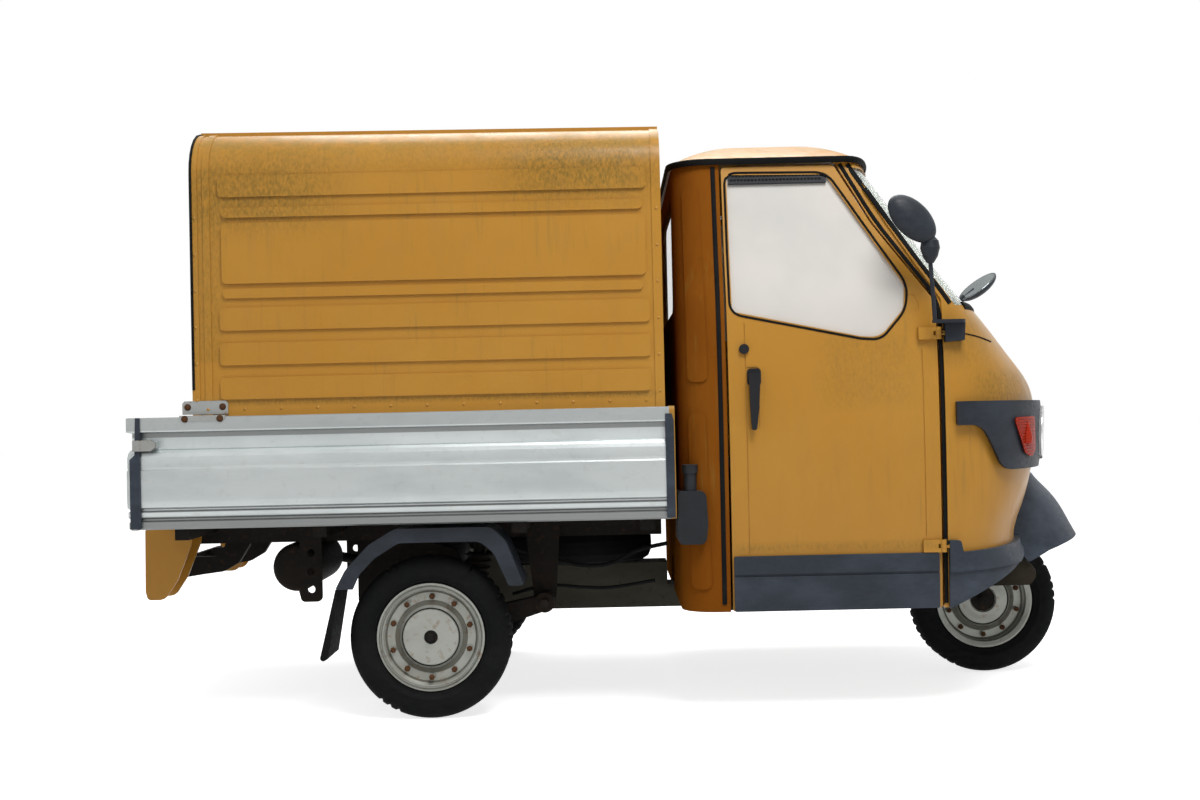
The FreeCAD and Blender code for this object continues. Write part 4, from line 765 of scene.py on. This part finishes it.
def makeWheel(look, label, body, hub, side, dish):
    section, count = tyreSection(look), look["segments"]
    points = []
    for i, (across, upward) in enumerate(circle(count)):
        for radius, along in section:
            at = radius - treadDrop(look, radius, along, math.tau * i / count)
            points.append(Vector(hub) + Vector((across * at, along * -side, upward * at)))
    parts = newParts()
    joinTo(parts, points, ringFaces(count, len(section), True))
    addPiece(label + "TyreTread", parts, "rubber", body, 0.5, [label + "_tyre"])
    axis = Vector((0, side, 0))
    face = Vector(hub) + axis * dish
    for name, (finish, rings) in look["rings"].items():
        parts = newParts()
        for on, along, corners, ring in rings:
            if label.startswith(on):
                latheInto(parts, face + axis * (along / 10000), axis, tenths(ring), corners)
        addPiece(label + name, parts, finish, body)
    places = []
    for i in range(look["nuts"]):
        for turn, along in look["nutRows"]:
            angle = math.radians(360 / look["nuts"] * i + turn)
            spot = Vector((math.sin(angle), 0, math.cos(angle))) * look["nutCircle"]
            places.append((face + axis * along + spot, axis))
    nut = unitOf((tenths(look["nut"]), 6), (tenths(look["stud"]), 12))
    repeatPiece(label + "WheelNuts", nut, places, "rust", body)


# Ribbed indicator lenses with their bulb shape, and the headlamp rings
lamps = dict(outline=((1001, 760), (1081, 762), (1083, 672), (1068, 652), (1040, 664)), ribs=14,
    ribFrom=660, ribStep=7.5, ribRadius=0.0021, ribGap=4, shortest=16, bulb=(1.048, 0.712),
    bulbSection=((0, 0.04), (0.005, 0.026), (0.011, 0.006), (0.0135, -0.008), (0.011, -0.021),
    (0, -0.026)), headlamp=(1.124, 0.338, 0.716), headlampRadius=0.0722, ringSteps=72,
    ring=((-0.004, -0.002), (-0.004, 0.001), (0, 0.003), (0.0015, 0.001), (0.0015, -0.002)))


# First and last X of an outline at a height
def spanAt(outline, z):
    crossings = []
    for (x0, z0), (x1, z1) in zip(outline, outline[1:] + outline[:1]):
        if (z0 - z) * (z1 - z) < 0:
            crossings.append(x0 + (x1 - x0) * (z - z0) / (z1 - z0))
    return (min(crossings), max(crossings)) if len(crossings) > 1 else (0, 0)


def makeLamps(look):
    lens, face = skinOf("indicators"), skinOf("headlamps")
    for label, side in sides:
        toward = Vector((0, -side, 0))
        parts = newParts()
        for k in range(look["ribs"]):
            z = look["ribFrom"] + look["ribStep"] * k
            first, last = spanAt(look["outline"], z)
            if last - first > look["shortest"]:
                line = seenAt([(first + look["ribGap"], z), (last - look["ribGap"], z)])
                path, normals = layAlong(lens, line, toward, 0.008)
                if len(path) > 2:
                    sweepInto(parts, path, normals, circle(6, look["ribRadius"], look["ribRadius"]))
        x, z = look["bulb"]
        hit, out = meet(lens, (x, side * outside, z), toward)
        up = (Vector((0, 0, 1)) - out * out.z).normalized()
        latheInto(parts, hit, up, look["bulbSection"], 20)
        addPiece(label + "IndicatorRibs", parts, "amberLens", "chassis")
        x, y, z = look["headlamp"]
        spots = circle(look["ringSteps"], look["headlampRadius"], look["headlampRadius"])
        met = [meet(face, (x + 0.5, side * y + across, z + up), Vector((-1, 0, 0))) for across, up in spots]
        addStrip(label + "HeadlampRing", *zip(*met), look["ring"], "chrome", "chassis", "black_plastic", True)


# Pressed plates that hold the canopy to the bed, their bolts, and the end caps and latches of the bed sides
canopyFittings = dict(first=-1167, last=-1048, low=797, high=849, seam=(808, 814), fold=812, corner=6,
    step=8, bedY=0.6305, canopyY=0.6012, plate=0.0025, shelfY=(0.599, 0.6325), shelfZ=(0.8075, 0.8115),
    shelfEase=0.0005, boltInset=14, boltZ=(802.5, 833), boltRadius=0.0065, boltHeight=0.004,
    caps=(((-1297, 522), (-1297, 700), (-1284, 712), (-1281, 808), (-1270, 808), (-1270, 522)),
    ((86, 522), (108, 522), (108, 772), (103, 790), (86, 790))), capY=(0.597, 0.6345),
    latch=((-1287, 722), (-1240, 722), (-1228, 732), (-1228, 744), (-1240, 750), (-1287, 750)),
    latchY=(0.628, 0.641), capEase=0.003)


def makeCanopyFittings(look):
    first, last, low, high, cut = (look[key] for key in ("first", "last", "low", "high", "corner"))
    inner, outer = look["shelfY"]
    under, over = look["seam"]
    below = [(first + cut, low), (last - cut, low), (last, low + look["step"]), (last, under), (first, under),
             (first, low + look["step"])]
    above = [(first, over), (last, over), (last, high - cut), (last - cut, high), (first + cut, high),
             (first, high - cut)]
    shelf = [(first, inner), (last, inner), (last, outer), (first, outer)]
    for label, side in sides:
        def onSide(x, z, rise):
            y = look["bedY"] if z < look["fold"] else look["canopyY"]
            return Vector((x / 1000, side * (y + rise), z / 1000))

        parts = newParts()
        slabInto(parts, below, onSide, -0.001, look["plate"])
        slabInto(parts, above, onSide, -0.001, look["plate"])
        slabInto(parts, shelf, lambda u, v, w: Vector((u / 1000, side * v, w)), *look["shelfZ"],
                 look["shelfEase"])
        addPiece(label + "CanopyPlates", parts, "agedSteel", "chassis")
        places = [(onSide(x, z, look["plate"]), Vector((0, side, 0)))
                  for x in (first + look["boltInset"], last - look["boltInset"]) for z in look["boltZ"]]
        bolt = hexBolt(look["boltRadius"], look["boltHeight"])
        repeatPiece(label + "CanopyBolts", bolt, places, "rust", "chassis")
        parts = newParts()
        for cap in look["caps"]:
            slabInto(parts, cap, standing(side), *look["capY"], look["capEase"])
        addPiece(label + "BedEndCaps", parts, "greyPlastic", "chassis")
        parts = newParts()
        slabInto(parts, look["latch"], standing(side), *look["latchY"], look["capEase"])
        addPiece(label + "BedLatch", parts, "agedSteel", "chassis")


# A bolt's head on its washer
def hexBolt(radius, height):
    head = [(0, height), (radius * 0.7, height), (radius, height * 0.75), (radius, -0.001), (0, -0.001)]
    washer = [(radius * 0.9, 0.0008), (radius * 1.35, 0.0008), (radius * 1.4, 0), (radius * 1.4, -0.001),
              (radius * 0.9, -0.001)]
    return unitOf((head, 6), (washer, 16))


# Rivets along the canopy's ends and foot
rivets = dict(step=0.095, radius=0.0045, endX=(-1.128, 0.076), endFrom=0.85, endCount=6, footX=-1.1,
    footZ=0.826, footCount=13)


def makeRivets(look):
    r, step = look["radius"], look["step"]
    rivet = unitOf(([(0, r * 0.5), (r * 0.6, r * 0.42), (r, 0), (r, -0.001), (0, -0.001)], 12))
    spots = [(x, look["endFrom"] + step * k) for x in look["endX"] for k in range(look["endCount"])]
    spots += [(look["footX"] + step * k, look["footZ"]) for k in range(look["footCount"])]
    skin = skinOf("canopy_shell")
    met = [meet(skin, (x, side * outside, z), Vector((0, -side, 0))) for side in (-1, 1) for x, z in spots]
    places = [(hit, normal) for hit, normal in met if hit is not None]
    repeatPiece("canopyRivets", rivet, places, "canopyPaint", "chassis")


# Rubber strip round the canopy's rear edge
rearStrip = dict(x=-1.1365, centreZ=1.1, foot=0.853, count=120, lip=(0.007, 0.004))


def makeRearStrip(look):
    skin = skinOf("canopy_shell")
    centre = Vector((look["x"], 0, look["centreZ"]))
    path, normals = [], []
    for i in range(look["count"] + 1):
        angle = math.pi * (1.5 * i / look["count"] - 0.25)
        out = Vector((0, math.cos(angle), math.sin(angle)))
        hit, normal = meet(skin, centre + out * outside, -out)
        if hit is not None and hit.z > look["foot"]:
            path.append(hit)
            normals.append(normal)
    addStrip("canopyRearStrip", path, normals, lipSection(*look["lip"]), "rubber", "chassis", "flap_rubber")


# Ribbed tail lamp lenses in three colours, and the lock handle of the canopy's hatch
rearFittings = dict(lampY=(0.335, 0.407), lampX=-1.3252, depth=0.004, rib=0.0009, ribs=6,
    endShares=((0, 0.0015), (0.03, 0), (0.97, 0), (1, 0.0015)), segments=(("redLens", 0.436, 0.463),
    ("amberLens", 0.466, 0.493), ("clearLens", 0.407, 0.433)), handleX=-1.1475, handleZ=0.93,
    plate=(0.048, 0.026), bar=0.0055, barHalf=0.04, barOut=(0.018, 0.023), boss=((0, 0.022),
    (0.011, 0.021), (0.013, 0.018), (0.012, 0.002), (0, 0.002)))


def makeRearFittings(look):
    first, last = look["lampY"]
    for finish, foot, head in look["segments"]:
        step = (head - foot) / look["ribs"]
        section = [(foot, 0)]
        for k in range(look["ribs"]):
            for share, rise in ((0.12, 0), (0.5, look["rib"]), (0.88, 0)):
                section.append((foot + step * (k + share), look["depth"] + rise))
        section.append((head, 0))
        parts = newParts()
        for side in (-1, 1):
            points = []
            for share, sink in look["endShares"]:
                y = side * (first + (last - first) * share)
                points += [Vector((look["lampX"] - max(0, out - sink), y, z)) for z, out in section]
            joinTo(parts, points, ringFaces(4, len(section), False))
        addPiece("tail" + finish[0].upper() + finish[1:], parts, finish, "chassis")
    parts = newParts()
    x, z, half = look["handleX"], look["handleZ"], look["barHalf"]
    slabInto(parts, circle(32, *look["plate"]), lambda u, v, w: Vector((x - w, u, z + v)), -0.006, 0.004)
    latheInto(parts, (x, 0, z), (-1, 0, 0), look["boss"], 28)
    ends, bow = look["barOut"]
    tubeInto(parts, [(x - ends, -half, z), (x - bow, 0, z), (x - ends, half, z)], look["bar"])
    addPiece("hatchHandle", parts, "blackPlastic", "canopy_hatch")


# Springs between the rear arms and the frame, and brake pipes under the bed
underParts = dict(springTurns=7, springRadius=0.031, wire=0.0055, springSteps=16,
    springFoot=(-0.452, 0.398, 0.238), springHead=(-0.417, 0.398, 0.454), springShares=(0.26, 0.86),
    pipeY=-0.352, pipes=((((-345, 432), (-243, 399), (-141, 376), (-60, 380), (13, 414), (96, 432)), 0.006),
    (((-336, 300), (-240, 322), (-142, 315), (-61, 313), (60, 330)), 0.005)))


def helixInto(parts, foot, head, look):
    axis = (head - foot).normalized()
    side = axis.orthogonal().normalized()
    other = axis.cross(side)
    steps = look["springSteps"]
    count = look["springTurns"] * steps
    turn = circle(steps)
    normals = [side * turn[i % steps][0] + other * turn[i % steps][1] for i in range(count + 1)]
    path = [foot.lerp(head, i / count) + out * look["springRadius"] for i, out in enumerate(normals)]
    sweepInto(parts, path, normals, circle(8, look["wire"], look["wire"]))


def makeUnderParts(look):
    parts = newParts()
    for side in (-1, 1):
        foot, head = (Vector((x, side * y, z)) for x, y, z in (look["springFoot"], look["springHead"]))
        helixInto(parts, *(foot.lerp(head, share) for share in look["springShares"]), look)
    addPiece("rearSprings", parts, "darkSteel", "chassis")
    parts = newParts()
    for line, radius in look["pipes"]:
        tubeInto(parts, [(x / 1000, look["pipeY"], z / 1000) for x, z in line], radius)
    addPiece("brakePipes", parts, "rubber", "chassis")


# Wipers resting on the foot of the windscreen
wipers = dict(pivotY=(-0.2, 0.16), pivotZ=1.046, pivotAxis=(0.6, 0, 0.8), bladeZ=1.115, bladeHalf=0.19,
    bladeClimb=0.012, lean=0.13, lift=0.007, arm=0.0042, armStart=(0.01, 0, 0.014), armBend=(0.022, 0, 0.016),
    bendShare=0.4, tipRise=0.009, pivot=((0, 0.02), (0.008, 0.018), (0.011, 0.012),
    (0.012, -0.004), (0, -0.004)), blade=((-0.004, -0.004), (-0.006, 0.002), (-0.002, 0.005),
    (0.002, 0.005), (0.006, 0.002), (0.004, -0.004)))


def makeWipers(look):
    glass = skinOf("windscreen", "nose_panel")
    back = Vector((-1, 0, 0))
    parts = newParts()
    for y in look["pivotY"]:
        pivot = meet(glass, (2.5, y, look["pivotZ"]), back)[0]
        latheInto(parts, pivot, look["pivotAxis"], look["pivot"], 20)
        shares = [k / 8 for k in range(-8, 9)]
        line = [Vector((0, y + look["lean"] + look["bladeHalf"] * t, look["bladeZ"] + look["bladeClimb"] * t))
                for t in shares]
        path, normals = layAlong(glass, line, back, 0.02, 0, look["lift"])
        sweepInto(parts, path, normals, look["blade"])
        middle = len(path) // 2
        tip = path[middle] + normals[middle] * look["tipRise"]
        bend = pivot.lerp(tip, look["bendShare"]) + Vector(look["armBend"])
        tubeInto(parts, [pivot + Vector(look["armStart"]), bend, tip], look["arm"])
    addPiece("wipers", parts, "blackPlastic", "chassis")


# Mirror glasses on the flat side of each head: centre, direction of the head's front, upward direction
mirrorGlass = dict(heads=(("right", (0.726, -0.662, 1.273), (0.2, -0.95, 0.12), (0.7, 0, 0.71)),
    ("left", (1.231, 0.638, 1.211), (0.55, 0.35, -0.75), (0.21, -0.93, -0.28))), wide=0.07, tall=0.042,
    back=-0.002, face=0.0015, ease=0.0008)


def makeMirrorGlasses(look):
    for label, centre, forward, upward in look["heads"]:
        forward = Vector(forward).normalized()
        upward = Vector(upward)
        upward = (upward - forward * upward.dot(forward)).normalized()
        across = upward.cross(forward)
        parts = newParts()
        slabInto(parts, circle(40, look["wide"], look["tall"]),
                 lambda u, v, w: Vector(centre) + across * u + upward * v - forward * w,
                 look["back"], look["face"], look["ease"])
        addPiece(label + "MirrorGlass", parts, "mirror", "chassis")


# Ribbed grips and hand levers at the handlebar
controls = dict(grip=0.0185, ribs=14, ribRise=0.0012, bore=0.012, gripEnd=(0.02, 0.004, 0.02),
    gripReach=(0.022, 0.1, 0.012), leverStart=(0.012, 0.03, -0.004), leverBend=(0.045, 0.03, -0.006),
    leverEnd=(0.052, 0, -0.012), lever=0.0042)


def makeControls(look):
    low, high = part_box("handlebar")
    inX, inY, inZ = look["gripEnd"]
    parts, levers = newParts(), newParts()
    for side in (-1, 1):
        def step(key, way=1):
            x, y, z = look[key]
            return Vector((x, way * side * y, z))
        outer = Vector((low.x + inX, side * (high.y - inY), low.z + inZ))
        inner = outer + step("gripReach", -1)
        r, bore, length = look["grip"], look["bore"], (outer - inner).length
        section = [(bore, 0)]
        for k in range(look["ribs"]):
            for share, rise in ((0, 0), (0.3, look["ribRise"]), (0.6, look["ribRise"])):
                section.append((r + rise, length * (k + share) / look["ribs"]))
        section += [(r, length), (r - 0.005, length + 0.003), (bore, length + 0.003)]
        latheInto(parts, inner, outer - inner, section, 28)
        start = inner + step("leverStart", -1)
        tubeInto(levers, [start, start + step("leverBend"), outer + step("leverEnd")], look["lever"])
    addPiece("gripSleeves", parts, "rubber", "steering")
    addPiece("controlLevers", levers, "agedSteel", "steering")


# Seat cushion and back: the CAD blocks blown up a little as cloth, then sewn channels pressed in
seats = dict(nodes=("seat_cushion", "seat_back"), shrink=0.985, voxel=0.006, pressure=4, limit=0.008,
    smoothing=4, clothSteps=20, channels=7, channelWidth=0.007, channelDepth=0.004, under=0.004, over=0.006,
    fill=0.6, sharp=1.2)


def blowUp(cushion, look):
    before = [point.co.copy() for point in cushion.data.vertices]
    cloth = cushion.modifiers.new("cloth", "CLOTH")
    cloth.settings.use_pressure = True
    cloth.settings.uniform_pressure_force = look["pressure"]
    cloth.settings.effector_weights.gravity = 0
    for step in range(1, look["clothSteps"] + 1):
        scene.frame_set(step)
    blown = evaluated(cushion)
    cushion.modifiers.clear()
    for point, rest, moved in zip(cushion.data.vertices, before, blown.vertices):
        shift = moved.co - rest
        if shift.length > look["limit"]:
            shift *= look["limit"] / shift.length
        point.co = rest + shift
    scene.frame_set(1)


def makeSeats(look):
    for name in look["nodes"]:
        low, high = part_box(name)
        middle = (low + high) / 2
        mesh = nodes[name].data.copy()
        shrink = Matrix.Scale(look["shrink"], 4)
        mesh.transform(Matrix.Translation(middle) @ shrink @ Matrix.Translation(-middle))
        cushion = newObject(name + "Cover", mesh)
        remesh = cushion.modifiers.new("remesh", "REMESH")
        remesh.mode = "VOXEL"
        remesh.voxel_size = look["voxel"]
        cushion.modifiers.new("smooth", "SMOOTH").iterations = look["smoothing"]
        cushion.data = evaluated(cushion)
        cushion.modifiers.clear()
        blowUp(cushion, look)
        upright = name == "seat_back"
        spacing = (high.y - low.y) / look["channels"]
        for point in cushion.data.vertices:
            near = (point.co.y - low.y) % spacing
            across = min(near, spacing - near) / look["channelWidth"]
            front = point.co.x > middle.x if upright else point.co.z > middle.z
            if front and across < 1 and low.y + spacing / 2 < point.co.y < high.y - spacing / 2:
                depth = look["channelDepth"] * (1 - across * across)
                point.co -= Vector((depth, 0, 0)) if upright else Vector((0, 0, depth))
            for axis in range(3):
                least, most = low[axis] - look["under"], high[axis] + look["over"]
                point.co[axis] = min(max(point.co[axis], least), most)
        mesh = cushion.data
        bpy.data.objects.remove(cushion)
        cover = addPiece(name + "Cover", mesh, "vinyl", "chassis", look["sharp"], [name])
        print(name, "cover made,", len(mesh.polygons), "faces")


makeSeats(seats)
makeSeals(seals)
makeDripRail(dripRail)
for label, side in sides:
    makeVentStrip(ventStrip, label, side)
print("seals, drip rail and vents made")
for hub in wheels["hubs"]:
    makeWheel(wheels, *hub)
print("wheels made")
makeLamps(lamps)
makeCanopyFittings(canopyFittings)
makeRivets(rivets)
makeRearStrip(rearStrip)
makeRearFittings(rearFittings)
print("lamps and canopy fittings made")
makeUnderParts(underParts)
makeWipers(wipers)
makeMirrorGlasses(mirrorGlass)
makeControls(controls)
print("springs, pipes, wipers, mirrors and controls made")
